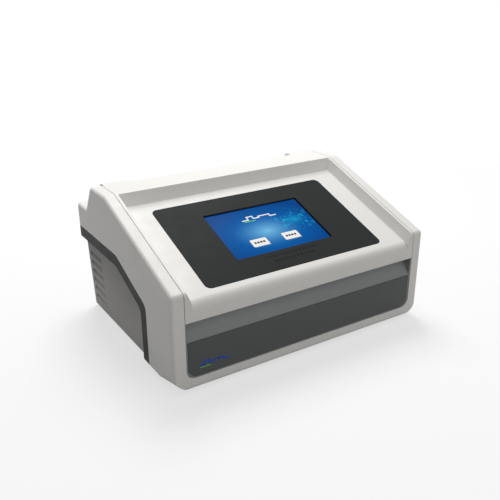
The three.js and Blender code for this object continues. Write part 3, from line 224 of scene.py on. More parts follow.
@dataclass(frozen=True)
class Moulded(Finish):
    """Injection-moulded plastic with a spark-eroded grain and a faint flow mottle."""

    colour: Triple
    roughness: float = 0.5
    grain: float = 0.0007
    depth: float = 0.00003
    mottle: float = 0.02
    specular: float = 0.4
    grain_strength: float = 0.35
    flow_scale: float = 7.0
    rub_scale: float = 45.0
    rub: float = 0.05

    def build(self) -> Material:
        """Makes the material."""
        tree = Shader.named(self.name)
        tree.set(Roughness=self.roughness, Specular_IOR_Level=self.specular)
        ends = [shade(self.colour, factor) for factor in (1 - self.mottle, 1 + self.mottle)]
        tree.set(Base_Color=tree.mix(tree.noise(self.flow_scale, 3.0), *ends))
        rubbed = tree.spread(tree.noise(self.rub_scale), self.roughness - self.rub, self.roughness + self.rub)
        tree.set(Roughness=rubbed)
        tree.bump(tree.noise(1 / self.grain, 1.0), self.grain_strength, self.depth)
        return tree.material


@dataclass(frozen=True)
class PaintedShadeMoulding(Moulded):
    """Moulded plastic with painted shade: its colour darkens from a lighter foot to a dark upper edge,
    standing in for the shade under the overhanging border.
    """

    # Painted shade: from the height foot up to the height top the colour darkens to its darkest tone.
    top: float = 0.14
    foot: float = 0.02
    painted_shade_tone: float = 0.4

    def build(self) -> Material:
        """Makes the material."""
        tree = Shader(super().build())
        split = tree.node("ShaderNodeSeparateXYZ", {0: tree.place})
        # Painted shade: darker towards the upper edge, where the border overhangs the panel.
        fade = tree.spread(split.outputs["Z"], 0.0, 1.0, self.foot, self.top)
        before = tree.principled.inputs["Base Color"].links[0].from_socket
        tree.set(Base_Color=tree.mix(fade, before, shade(self.colour, self.painted_shade_tone)))
        return tree.material


@dataclass(frozen=True)
class Metal(Finish):
    """Bare metal, brushed along one axis or bead-blasted."""

    colour: Triple
    roughness: float = 0.32
    brush: Triple = (40.0, 1500.0, 1500.0)
    depth: float = 0.00001
    strength: float = 0.25
    tones: Pair = (0.9, 1.05)
    rub: Pair = (-0.07, 0.09)

    def build(self) -> Material:
        """Makes the material."""
        tree = Shader.named(self.name)
        tree.set(Metallic=1.0, Roughness=self.roughness)
        lines = tree.noise(1.0, 2.0, tree.mapped(tree.place, self.brush))
        tree.set(Base_Color=tree.mix(lines, *(shade(self.colour, tone) for tone in self.tones)))
        tree.set(Roughness=tree.spread(lines, *(self.roughness + change for change in self.rub)))
        tree.bump(lines, self.strength, self.depth)
        return tree.material


@dataclass(frozen=True)
class SoftRubber(Finish):
    """Matt rubber with a dusty bloom."""

    colour: Triple
    roughness: float = 0.82
    specular: float = 0.3
    bloom_scale: float = 90.0
    bloom_share: float = 0.5
    bloom_tone: float = 2.2
    grain_scale: float = 2200.0
    strength: float = 0.4
    depth: float = 0.00004

    def build(self) -> Material:
        """Makes the material."""
        tree = Shader.named(self.name)
        tree.set(Roughness=self.roughness, Specular_IOR_Level=self.specular)
        bloom = tree.spread(tree.noise(self.bloom_scale, 4.0), 0.0, self.bloom_share)
        tree.set(Base_Color=tree.mix(bloom, self.colour, shade(self.colour, self.bloom_tone)))
        tree.bump(tree.noise(self.grain_scale, 1.0), self.strength, self.depth)
        return tree.material


@dataclass(frozen=True)
class CircuitBoard(Finish):
    """Solder mask over copper tracks."""

    colour: Triple = (0.012, 0.11, 0.05)
    roughness: float = 0.38
    coat: float = 0.3
    coat_roughness: float = 0.2
    cell_scale: float = 170.0
    track_width: float = 0.07
    track_tone: float = 1.9
    strength: float = 0.3
    depth: float = 0.00003

    def build(self) -> Material:
        """Makes the material."""
        tree = Shader.named(self.name)
        tree.set(Roughness=self.roughness, Coat_Weight=self.coat, Coat_Roughness=self.coat_roughness)
        cells = tree.cells(self.cell_scale, feature="DISTANCE_TO_EDGE", distance="CHEBYCHEV")
        track = tree.mathed("LESS_THAN", cells, self.track_width)
        tree.set(Base_Color=tree.mix(track, self.colour, shade(self.colour, self.track_tone)))
        tree.bump(track, self.strength, self.depth)
        return tree.material


@dataclass(frozen=True)
class ScreenPicture(Finish):
    """A lit touch screen: deep blue with a pale glow and a scatter of lights, under glass, with painted shade
    in a thin dark border along its edges.

    Places and distances are in half widths across the screen and half lengths up it, from its middle.
    """

    centre: Triple
    tilt: float
    half_width: float
    half_length: float
    glass: Triple = (0.002, 0.002, 0.003)
    roughness: float = 0.2
    specular: float = 0.01
    deep: Triple = (0.0, 0.056, 0.25)
    mid: Triple = (0.0, 0.135, 0.46)
    glow: Triple = (0.17, 0.50, 0.76)
    glow_at: Pair = (-0.06, -0.12)
    mid_reach: Pair = (0.15, 1.25)
    glow_reach: float = 0.78
    spark: Triple = (0.01, 0.50, 0.78)
    spark_at: Pair = (0.62, 0.12)
    haze_reach: float = 0.34
    haze_share: float = 0.5
    dots: tuple[Pair, ...] = ((90.0, 0.36), (200.0, 0.40))
    dot_core: float = 0.45
    dot_reach: Pair = (0.1, 0.62)
    dot_share: float = 0.7
    patches: float = 0.55
    patch_range: Pair = (0.40, 0.62)
    # Painted shade: a thin dark border along the screen's edges, standing in for the shade of the bezel's
    # step.
    painted_shade_rim: float = 0.982
    painted_shade_rim_colour: Triple = (0.002, 0.002, 0.002)

    @staticmethod
    def distance(tree: Shader, across: Socket, up: Socket, point: Pair) -> Socket:
        """Distance on the screen from a point, where across and up run from -1 to 1."""
        off_x = tree.mathed("SUBTRACT", across, point[0])
        off_y = tree.mathed("SUBTRACT", up, point[1])
        return tree.mathed("SQRT", tree.mathed("ADD", tree.mathed("MULTIPLY", off_x, off_x),
                                               tree.mathed("MULTIPLY", off_y, off_y)))

    def build(self) -> Material:
        """Makes the material."""
        tree = Shader.named(self.name)
        tree.set(Base_Color=(*self.glass, 1.0), Roughness=self.roughness, Specular_IOR_Level=self.specular,
                 Emission_Strength=1.0)
        centred = tree.node("ShaderNodeVectorMath", {0: tree.place, 1: self.centre}, operation="SUBTRACT")
        flat = tree.mapped(centred.outputs[0], turn=(-self.tilt, 0, 0))
        split = tree.node("ShaderNodeSeparateXYZ", {0: flat})
        across = tree.mathed("DIVIDE", split.outputs["X"], self.half_width)
        up = tree.mathed("DIVIDE", split.outputs["Y"], self.half_length)
        field = self.distance(tree, across, up, self.glow_at)
        broad = tree.spread(field, 1.0, 0.0, *self.mid_reach)
        core = tree.spread(field, 1.0, 0.0, 0.0, self.glow_reach)
        lit = tree.mix(tree.mathed("MULTIPLY", core, core), tree.mix(broad, self.deep, self.mid), self.glow)
        side = self.distance(tree, across, up, self.spark_at)
        haze = tree.spread(side, 1.0, 0.0, 0.0, self.haze_reach)
        haze = tree.mathed("MULTIPLY", tree.mathed("MULTIPLY", haze, haze), self.haze_share)
        lit = tree.mix(haze, lit, self.spark)
        near = tree.spread(side, self.dot_share, 0.0, *self.dot_reach)
        for scale, size in self.dots:
            dot = tree.spread(tree.cells(scale, flat, feature="F1"), 1.0, 0.0, size * self.dot_core, size)
            pick = tree.spread(tree.noise(scale * self.patches, 1.0, flat), 0.0, 1.0, *self.patch_range)
            lit = tree.mix(tree.mathed("MULTIPLY", tree.mathed("MULTIPLY", dot, near), pick), lit, self.spark)
        # Painted shade: the screen goes dark along its edges.
        edge = tree.mathed("MAXIMUM", tree.mathed("ABSOLUTE", across), tree.mathed("ABSOLUTE", up))
        in_painted_shade_rim = tree.mathed("GREATER_THAN", edge, self.painted_shade_rim)
        tree.set(Emission_Color=tree.mix(in_painted_shade_rim, lit, self.painted_shade_rim_colour))
        return tree.material


@dataclass(frozen=True)
class Print(Finish):
    """Flat ink or a lit patch of the screen."""

    colour: Triple
    lit: float = 0.0
    unlit: Triple = (0.004, 0.004, 0.005)
    roughness: float = 0.45
    specular: float = 0.06
    tone: float = 0.93
    grain_scale: float = 900.0

    def build(self) -> Material:
        """Makes the material."""
        tree = Shader.named(self.name)
        inked = tree.mix(tree.noise(self.grain_scale, 1.0), shade(self.colour, self.tone), self.colour)
        tree.set(Roughness=self.roughness, Specular_IOR_Level=self.specular, Emission_Strength=self.lit)
        if self.lit:
            tree.set(Base_Color=(*self.unlit, 1.0), Emission_Color=inked)
        else:
            tree.set(Base_Color=inked)
        return tree.material


WHITE = Moulded("white_moulding", (0.79, 0.778, 0.745), 0.46, mottle=0.006, specular=0.3)
PANEL_GREY = Moulded("graphite_moulding", (0.20, 0.197, 0.192), 0.6, 0.0009, 0.00005, specular=0.2)
# The side panels' colour carries painted shade, darker towards their upper edge.
SIDE_GREY_PAINTED_SHADE = PaintedShadeMoulding("side_moulding_painted_shade", (0.52, 0.51, 0.497), 0.6, 0.0009, 0.00005, specular=0.15)
STRIP_DARK = Moulded("dark_border_moulding", (0.050, 0.051, 0.051), 0.5, specular=0.06)
GRIP_GREY = Moulded("grip_moulding", (0.27, 0.278, 0.278), 0.5, specular=0.25)
FASCIA = Moulded("fascia_moulding", (0.084, 0.088, 0.088), 0.42, depth=0.00002, specular=0.25)
BEZEL = Moulded("bezel_film", (0.030, 0.032, 0.032), 0.42, grain=0.0005, depth=0.00001, specular=0.02)
BLACK = Moulded("black_moulding", (0.018, 0.018, 0.019), 0.5)
INNER_DARK = Moulded("inner_moulding", (0.045, 0.046, 0.048), 0.55)
STEEL = Metal("brushed_steel", (0.56, 0.56, 0.57))
ZINC = Metal("zinc_sheet", (0.60, 0.61, 0.63), 0.4, (300.0, 300.0, 300.0))
ALUMINIUM = Metal("blasted_aluminium", (0.78, 0.79, 0.80), 0.36, (900.0, 900.0, 900.0))
RUBBER = SoftRubber("rubber", (0.016, 0.016, 0.017))
SILICONE = SoftRubber("orange_silicone", (0.42, 0.12, 0.035))
BOARD = CircuitBoard("circuit_board")
CERAMIC = Moulded("white_ceramic", (0.78, 0.76, 0.70), 0.6)
INK_BLUE = Print("blue_ink", (0.008, 0.10, 0.66))
INK_GREEN = Print("green_ink", (0.18, 0.60, 0.05))
INK_DARK = Print("dark_ink", (0.006, 0.006, 0.007))
LIT_WHITE = Print("lit_white", (0.88, 0.87, 0.84), 1.0)
LIT_BLACK = Print("lit_black", (0.03, 0.025, 0.02), 1.0)
LIT_SHADE = Print("lit_shade", (0.12, 0.22, 0.36), 1.0)
LIT_GREEN = Print("lit_green", (0.14, 0.62, 0.08), 1.0)

_built: dict[str, Material] = {}


def material_of(finish: Finish) -> Material:
    """The finish's material, made once."""
    if finish.name not in _built:
        _built[finish.name] = finish.build()
    return _built[finish.name]


# ---------------- tools of the bench


def deselect() -> None:
    """Leaves nothing selected."""
    bpy.ops.object.select_all(action="DESELECT")


def only(piece: Piece) -> Piece:
    """Selects one object alone and makes it active."""
    deselect()
    piece.hide_set(False)
    piece.select_set(True)
    bpy.context.view_layer.objects.active = piece
    return piece


def fresh(add: Callable[..., object], **settings: object) -> Piece:
    """Adds an object with an operator and its settings, with nothing else selected."""
    deselect()
    add(**settings)
    return bpy.context.object


def settle(piece: Piece) -> Piece:
    """Moves the object's place, turn and scale into its mesh."""
    only(piece)
    bpy.ops.object.transform_apply(location=True, rotation=True, scale=True)
    return piece


def applied(piece: Piece, kind: str, **settings: object) -> Piece:
    """Adds a modifier, sets it and applies it.

    Args:
        piece: The object to change.
        kind: The modifier's type.
        **settings: The modifier's properties.

    Returns:
        The same object.
    """
    only(piece)
    made = piece.modifiers.new(kind.lower(), kind)
    for key, value in settings.items():
        setattr(made, key, value)
    bpy.ops.object.modifier_apply(modifier=made.name)
    return piece


def in_edit(piece: Piece, mode: str, pick: Callable[[object], bool], act: Callable[[], object]) -> Piece:
    """Selects some vertices, edges or faces and runs an operator on them.

    Args:
        piece: The object to change.
        mode: VERT, EDGE or FACE.
        pick: Says which elements are selected.
        act: Calls the operators.

    Returns:
        The same object.
    """
    only(piece)
    bpy.ops.object.mode_set(mode="EDIT")
    bpy.ops.mesh.select_mode(type=mode)
    bpy.ops.mesh.select_all(action="DESELECT")
    mesh = bmesh.from_edit_mesh(piece.data)
    elements = {"VERT": mesh.verts, "EDGE": mesh.edges, "FACE": mesh.faces}[mode]
    for element in elements:
        element.select_set(bool(pick(element)))
    mesh.select_flush_mode()
    bmesh.update_edit_mesh(piece.data)
    act()
    bpy.ops.object.mode_set(mode="OBJECT")
    return piece


def is_upright(edge: bmesh.types.BMEdge) -> bool:
    """Whether an edge runs along Z."""
    along = edge.verts[1].co - edge.verts[0].co
    return abs(along.z) > ALONG * along.length


def rounded(piece: Piece, width: float, segments: int = 2, angle: float = 50.0, **more: object) -> Piece:
    """Bevels every edge sharper than an angle.

    Args:
        piece: The object to change.
        width: The bevel's width.
        segments: Its segments.
        angle: The angle in degrees.
        **more: Other properties of the modifier.

    Returns:
        The same object.
    """
    return applied(piece, "BEVEL", width=width, segments=segments, limit_method="ANGLE",
                   angle_limit=math.radians(angle), **more)


def smooth(piece: Piece, angle: float = 40.0, weight: int = 60) -> Piece:
    """Shades smooth up to an angle in degrees, with large faces kept flat."""
    only(piece)
    bpy.ops.object.shade_smooth_by_angle(angle=math.radians(angle))
    return applied(piece, "WEIGHTED_NORMAL", mode="FACE_AREA", weight=weight, keep_sharp=True)


def plate(name: str, low: Sequence[float], high: Sequence[float], corner: float = 0.0,
          edge: float = 0.0, steps: int = 6) -> Piece:
    """A plate with rounded corners in its own XY outline and softened edges.

    Args:
        name: The object's name.
        low: Its lowest corner.
        high: Its highest corner.
        corner: Radius of the four upright corners.
        edge: Radius of the top and bottom edges.
        steps: Segments of a corner.

    Returns:
        The new object.
    """
    low, high = Vector(low), Vector(high)
    piece = fresh(bpy.ops.mesh.primitive_cube_add, size=1.0, location=(low + high) / 2)
    piece.name = name
    piece.scale = high - low
    settle(piece)
    if corner:
        in_edit(piece, "EDGE", is_upright,
                lambda: bpy.ops.mesh.bevel(offset=corner, segments=steps, affect="EDGES"))
    if edge:
        rounded(piece, edge)
    return smooth(piece)


@dataclass(frozen=True)
class SteppedTrace:
    """A small line that steps up and down like a temperature cycle, centred on its own origin in XY."""

    run: float
    rise: float
    thick: float
    levels: tuple[float, ...] = (0.0, 1.0, 0.2, 0.6, 0.6, 0.0)

    def build(self, name: str, foot: float, head: float) -> Piece:
        """Makes the line.

        Args:
            name: The piece's name.
            foot: The height of its underside.
            head: The height of its face.

        Returns:
            The line as one object.
        """
        bars = []
        start = -self.run * len(self.levels) / 2
        half = self.thick / 2
        before = self.levels[0]
        for number, level in enumerate(self.levels):
            left = start + number * self.run
            y = (level - 0.5) * self.rise
            bars.append(plate("run", (left - half, y - half, foot), (left + self.run + half, y + half, head)))
            if level != before:
                low, high = sorted((y, (before - 0.5) * self.rise))
                bars.append(plate("rise", (left - half, low + half, foot), (left + half, high - half, head)))
            before = level
        return joined(name, bars)


def turned(name: str, centre: Sequence[float], radius: float, length: float, axis: Axis = Axis.Z,
           edge: float = 0.0, sides: int = 32) -> Piece:
    """A turned disc or rod with softened rims.

    Args:
        name: The object's name.
        centre: Its middle.
        radius: Its radius.
        length: Its length along the axis.
        axis: Its own axis.
        edge: Radius of its rims.
        sides: Its facets.

    Returns:
        The new object.
    """
    piece = fresh(bpy.ops.mesh.primitive_cylinder_add, vertices=sides, radius=radius, depth=length)
    piece.name = name
    if edge:
        rounded(piece, edge, 3)
    turns = {Axis.X: (0, math.pi / 2, 0), Axis.Y: (math.pi / 2, 0, 0), Axis.Z: (0, 0, 0)}
    piece.rotation_euler = turns[axis]
    piece.location = centre
    return smooth(settle(piece))


def joined(name: str, pieces: Sequence[Piece]) -> Piece:
    """Joins several objects into one mesh."""
    deselect()
    for piece in pieces:
        piece.select_set(True)
    bpy.context.view_layer.objects.active = pieces[0]
    if len(pieces) > 1:
        bpy.ops.object.join()
    pieces[0].name = name
    return pieces[0]


def boolean(piece: Piece, tool: Piece, operation: str = "DIFFERENCE") -> Piece:
    """Cuts or joins a piece with a tool and removes the tool."""
    applied(piece, "BOOLEAN", object=tool, operation=operation, solver="EXACT")
    bpy.data.objects.remove(tool)
    return piece


def placed(piece: Piece, matrix: Matrix) -> Piece:
    """Moves a piece that was made in a local frame to its place in the machine."""
    piece.matrix_world = matrix @ piece.matrix_world
    return settle(piece)


def paint(piece: Piece, finish: Finish) -> None:
    """Gives a piece one finish, in place of any that it has."""
    piece.data.materials.clear()
    piece.data.materials.append(material_of(finish))


def dress(piece: Piece, body: str, slot: str, finish: Finish, *stands_for: str) -> Piece:
    """Gives a piece its finish and its body, and hides the nodes that it stands for.

    Args:
        piece: The new piece.
        body: The CAD body that it rides on.
        slot: The record's material slot; not used.
        finish: The finish.
        *stands_for: The CAD nodes that it replaces.

    Returns:
        The same piece.
    """
    paint(piece, finish)
    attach(piece, body)
    if stands_for:
        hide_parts(*stands_for)
    log.info("%s: %d faces on %s", piece.name, len(piece.data.polygons), body)
    return piece


def clean_copy(node: str, name: str, edge: float = 0.0, angle: float = 35.0, merge: float = TOUCH,
               flat: float = 0.4) -> Piece:
    """A copy of a CAD solid with its loose triangles merged, flats dissolved and edges softened.

    Args:
        node: The CAD node.
        name: The copy's name.
        edge: Radius of its softened edges.
        angle: Edges sharper than this are softened.
        merge: Points closer than this are made one.
        flat: Faces that meet at less than this angle are made one.

    Returns:
        The copy.
    """
    piece = bpy.data.objects.new(name, frame["nodes"][node].data.copy())
    bpy.context.scene.collection.objects.link(piece)
    only(piece)
    bpy.ops.object.mode_set(mode="EDIT")
    bpy.ops.mesh.select_all(action="SELECT")
    bpy.ops.mesh.remove_doubles(threshold=merge)
    bpy.ops.mesh.dissolve_limited(angle_limit=math.radians(flat))
    bpy.ops.object.mode_set(mode="OBJECT")
    if edge:
        rounded(piece, edge, angle=angle, use_clamp_overlap=True, miter_outer="MITER_ARC")
    return smooth(piece)


def refined(node: str, name: str, edge: float, body: str, slot: str, finish: Finish) -> Piece:
    """A clean copy with its finish and body, in place of its CAD node."""
    return dress(clean_copy(node, name, edge), body, slot, finish, node)


# ---------------- local frames from the CAD


def face_frame(node: str, towards: Sequence[float]) -> Matrix:
    """A frame on a CAD node's largest flat that faces a direction.

    Its X is the machine's X, its Z leaves the flat, and its origin is the flat's middle.

    Args:
        node: The CAD node.
        towards: The direction that the flat faces, roughly.

    Returns:
        The frame as a matrix.
    """
    mesh = frame["nodes"][node].data
    facing = [p for p in mesh.polygons if p.normal.dot(Vector(towards).normalized()) > ROUGHLY]
    normal = max(facing, key=lambda p: p.area).normal.copy()
    points = [mesh.vertices[i].co for p in facing if p.normal.dot(normal) > PARALLEL for i in p.vertices]
    farthest = max(p.dot(normal) for p in points)
    points = [p for p in points if p.dot(normal) > farthest - TOUCH]
    up = normal.cross(Vector((1, 0, 0)))
    middle = Vector(((min(p.x for p in points) + max(p.x for p in points)) / 2, 0, 0))
    along = [p.dot(up) for p in points]
    middle += up * (min(along) + max(along)) / 2 + normal * farthest
    axes = Matrix((Vector((1, 0, 0)), up, normal)).transposed().to_4x4()
    return Matrix.Translation(middle) @ axes


# ---------------- fasteners


@dataclass
class ScrewMaker:
    """Pan-head screws, each modelled about Z with its head's foot at the origin."""

    radius: float = 2.6 * MM
    height: float = 1.5 * MM
    rim_share: float = 0.45
    recess_radius: float = 0.5
    recess_depth: float = 1.1
    recess_sides: int = 6
    sides: int = 28

    def head(self, name: str, matrix: Matrix) -> Piece:
        """Makes one screw head.

        Args:
            name: The piece's name.
            matrix: Where its foot stands, with Z out of the surface.

        Returns:
            The head.
        """
        head = turned(name, (0, 0, self.height / 2), self.radius, self.height,
                      edge=self.height * self.rim_share, sides=self.sides)
        recess = turned(name + "_recess", (0, 0, self.height), self.radius * self.recess_radius,
                        self.height * self.recess_depth, sides=self.recess_sides)
        return placed(smooth(boolean(head, recess)), matrix)


# ---------------- sub-assemblies


@dataclass
class Casing:
    """The white casing, its side panels, the front and the underside."""

    edge: float = 0.35 * MM
    grip_edge: float = 0.6 * MM
    ink: float = 0.04 * MM
    mark_inset: float = 35 * MM
    mark_rise: float = 15.5 * MM
    mark_trace: SteppedTrace = SteppedTrace(6.6 * MM, 4.8 * MM, 1.8 * MM)
    line_ends: Pair = (-20 * MM, -5 * MM)
    line_drop: float = 1.1
    line_thick: float = 1.2 * MM
    field_depth: float = 8.5 * MM
    vents_start: float = 100 * MM
    foot_edge: float = 0.8 * MM
    foot_sides: int = 40
    foot_well_share: float = 0.42
    foot_well: float = 3.2 * MM
    foot_well_sides: int = 24

    def build(self) -> None:
        """Builds every piece of the casing."""
        refined("main_housing", "casing", self.edge, "base", "casing_white", WHITE)
        for side in Side:
            self.side_panel(side)
        refined("front_panel", "grip_panel", self.grip_edge, "base", "grip_grey", GRIP_GREY)
        refined("front_fascia", "fascia", self.edge, "base", "fascia_dark", FASCIA)
        refined("base_tray", "tray", self.edge, "base", "steel", ZINC)
        self.mark()
        self.feet()

    def side_panel(self, side: Side) -> None:
        """Builds one side panel, with its dark border as the same moulding's second colour."""
        node = f"side_panel_{side}"
        # The panel's first colour carries painted shade, darker towards its upper edge.
        panel = refined(node, f"vented_panel_{side}", self.edge, "base", "side_graphite", SIDE_GREY_PAINTED_SHADE)
        panel.data.materials.append(material_of(STRIP_DARK))
        low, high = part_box(node)
        outer = low.x if side is Side.LEFT else high.x
        for face in panel.data.polygons:
            sideways = abs(face.normal.x) > ALONG
            deep = abs(face.center.x - outer) > self.field_depth
            slot = deep and face.center.y > low.y + self.vents_start and not sideways
            face.material_index = 0 if (deep and sideways) or slot else 1

    def mark(self) -> None:
        """Prints a plain stepped trace low on the fascia's left, with a short green line under it."""
        low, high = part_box("front_fascia")
        face = Matrix.Translation((low.x + self.mark_inset, low.y, low.z + self.mark_rise))
        face = face @ Matrix.Rotation(math.pi / 2, 4, "X")
        trace = self.mark_trace.build("fascia_trace", -self.ink, self.ink)
        dress(placed(trace, face), "base", "fascia_dark", INK_BLUE)
        y = -self.mark_trace.rise * self.line_drop
        start, end = self.line_ends
        half = self.line_thick / 2
        line = plate("fascia_line", (start, y - half, -self.ink), (end, y + half, self.ink))
        dress(placed(line, face), "base", "fascia_dark", INK_GREEN)

    def feet(self) -> None:
        """Builds the four rubber feet, each with the well of its screw."""
        for number in range(1, 5):
            node = f"foot_{number}"
            low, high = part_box(node)
            middle = (low + high) / 2
            radius = (high.x - low.x) / 2
            foot = turned(f"rubber_foot_{number}", middle, radius, high.z - low.z, edge=self.foot_edge,
                          sides=self.foot_sides)
            well = turned("well", (middle.x, middle.y, low.z), radius * self.foot_well_share, self.foot_well,
                          sides=self.foot_well_sides)
            dress(smooth(boolean(foot, well)), "base", "rubber", RUBBER, node)


@dataclass
class Lid:
    """The lid's shell, liner, gasket and catch, and its hinge."""

    edge: float = 0.35 * MM
    gasket_edge: float = 0.3 * MM
    bracket_edge: float = 0.4 * MM
    bracket_sheet: float = 3 * MM
    screw_inset: float = 5.5 * MM
    front_inset: float = 9 * MM
    pin_edge: float = 0.5 * MM

    def build(self) -> None:
        """Builds every piece of the lid except its display."""
        refined("lid_shell", "lid", self.edge, "lid", "casing_white", WHITE)
        refined("lid_liner", "liner", self.edge, "lid", "dark_plastic", INNER_DARK)
        refined("catch_plate", "keeper_plate", self.edge, "lid", "steel", STEEL)
        refined("lid_gasket", "seal", self.gasket_edge, "lid", "rubber", RUBBER)
        for side in Side:
            self.hinge(side)

    def hinge(self, side: Side) -> None:
        """Builds one hinge bracket with its screws, and its pin."""
        node = f"hinge_bracket_{side}"
        refined(node, f"bracket_{side}", self.bracket_edge, "base", "steel", STEEL)
        low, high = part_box(node)
        foot = low.z + self.bracket_sheet
        spots = [(x, y) for y in (low.y + self.front_inset, high.y - self.screw_inset)
                 for x in (low.x + self.screw_inset, high.x - self.screw_inset)]
        screws = [ScrewMaker().head("screw", Matrix.Translation((x, y, foot))) for x, y in spots]
        dress(joined(f"bracket_screws_{side}", screws), "base", "steel", STEEL)
        pin = f"hinge_pin_{side}"
        low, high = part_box(pin)
        rod = turned(f"pin_{side}", (low + high) / 2, (high.z - low.z) / 2, high.x - low.x, Axis.X,
                     self.pin_edge)
        dress(rod, "base", "steel", STEEL, pin)


@dataclass
class Display:
    """The bezel, the lit screen and what it shows."""

    bezel_edge: float = 0.5 * MM
    ink: float = 0.05 * MM
    faces: Triple = (0, -0.3, 1)
    screen_within: Pair = (90 * MM, 60 * MM)
    button_width: float = 25.5 * MM
    button_height: float = 14.5 * MM
    button_corner: float = 1.2 * MM
    corner_steps: int = 4
    button_drop: float = 0.50
    button_places: Pair = (-28 * MM, 23 * MM)
    shadow_shift: Pair = (1 * MM, -1.6 * MM)
    label_width: float = 3.4 * MM
    label_height: float = 3.6 * MM
    label_corner: float = 0.6 * MM
    label_places: tuple[float, ...] = (-7 * MM, -2.4 * MM, 2.2 * MM, 6.8 * MM)
    screen_trace: SteppedTrace = SteppedTrace(9 * MM, 6.5 * MM, 2.0 * MM)
    trace_rise: float = 26.5 * MM
    line_middle: Pair = (-17 * MM, -6.5 * MM)
    line_size: Pair = (18 * MM, 1.4 * MM)
    caption_rows: tuple[tuple[int, float], ...] = ((14, -56.5 * MM), (11, -66 * MM))
    caption_pitch: float = 5.9 * MM
    caption_widths: Triple = (3.2 * MM, 4.1 * MM, 5.0 * MM)
    caption_height: float = 4.2 * MM

    def __post_init__(self) -> None:
        """Finds the screen's own frame."""
        self.face = face_frame("touch_panel", self.faces)

    def build(self) -> None:
        """Builds the display and its picture."""
        refined("screen_bezel", "bezel", self.bezel_edge, "lid", "bezel_grey", BEZEL)
        corners = [self.face.inverted() @ v.co for v in frame["nodes"]["screen_bezel"].data.vertices]
        within_x, within_y = self.screen_within
        inner = [c for c in corners if abs(c.x) < within_x and abs(c.y) < within_y]
        half_width = max(c.x for c in inner)
        half_length = max(c.y for c in inner)
        tilt = math.atan2(self.face[2][1], self.face[1][1])
        picture = ScreenPicture("screen_picture", tuple(self.face.translation), tilt, half_width, half_length)
        refined("touch_panel", "touch_glass", 0.0, "lid", "screen", picture)
        self.buttons(half_length)
        self.trace()
        self.captions()
        for node, finish in (("lcd_module", ZINC), ("display_bracket", ZINC), ("display_board", BOARD)):
            paint(frame["nodes"][node], finish)

    def patch(self, name: str, x: float, y: float, width: float, height: float, level: int = 1,
              corner: float = 0.0) -> Piece:
        """A thin patch on the screen or the bezel, in the screen's frame.

        Args:
            name: The piece's name.
            x: Its middle across.
            y: Its middle up the screen.
            width: Its width.
            height: Its height.
            level: How many layers of ink it stands on.
            corner: Radius of its corners.

        Returns:
            The patch.
        """
        low = (x - width / 2, y - height / 2, (level - 1) * self.ink)
        high = (x + width / 2, y + height / 2, level * self.ink)
        return plate(name, low, high, corner=corner, steps=self.corner_steps)

    def on_screen(self, piece: Piece, finish: Print) -> None:
        """Lays a piece that was made in the screen's frame on the screen."""
        dress(placed(piece, self.face), "lid", "screen", finish)

    def buttons(self, half_length: float) -> None:
        """Draws the two buttons, each with a shadow and plain dark bars for its label.

        Args:
            half_length: Half the screen's length.
        """
        y = -half_length * self.button_drop
        size = (self.button_width, self.button_height)
        shift_x, shift_y = self.shadow_shift
        for side, x in zip(Side, self.button_places):
            shadow = self.patch(f"button_shadow_{side}", x + shift_x, y + shift_y, *size,
                                corner=self.button_corner)
            self.on_screen(shadow, LIT_SHADE)
            button = self.patch(f"button_{side}", x, y, *size, 2, self.button_corner)
            self.on_screen(button, LIT_WHITE)
            bars = [self.patch("bar", x + place, y, self.label_width, self.label_height, 3, self.label_corner)
                    for place in self.label_places]
            self.on_screen(joined(f"button_label_{side}", bars), LIT_BLACK)

    def trace(self) -> None:
        """Draws a small stepped temperature trace in place of a mark, with a green line under it."""
        face = self.face @ Matrix.Translation((0, self.trace_rise, 0))
        dress(placed(self.screen_trace.build("cycle_trace", 0, self.ink), face), "lid", "screen", LIT_WHITE)
        x, y = self.line_middle
        self.on_screen(self.patch("trace_line", x, self.trace_rise + y, *self.line_size), LIT_GREEN)

    def captions(self) -> None:
        """Prints two rows of plain dashes on the bezel below the screen."""
        top = face_frame("screen_bezel", self.faces)
        centre = (top.inverted() @ self.face.translation).y
        marks = []
        for row, (count, rise) in enumerate(self.caption_rows):
            for number in range(count):
                width = self.caption_widths[(number * 7 + row) % 3]
                reach = Vector((width, self.caption_height, self.ink)) / 2
                middle = Vector(((number - (count - 1) / 2) * self.caption_pitch, centre + rise, 0))
                marks.append(plate("dash", middle - reach, middle + reach))
        dress(placed(joined("caption_dashes", marks), top), "lid", "bezel_grey", INK_DARK)


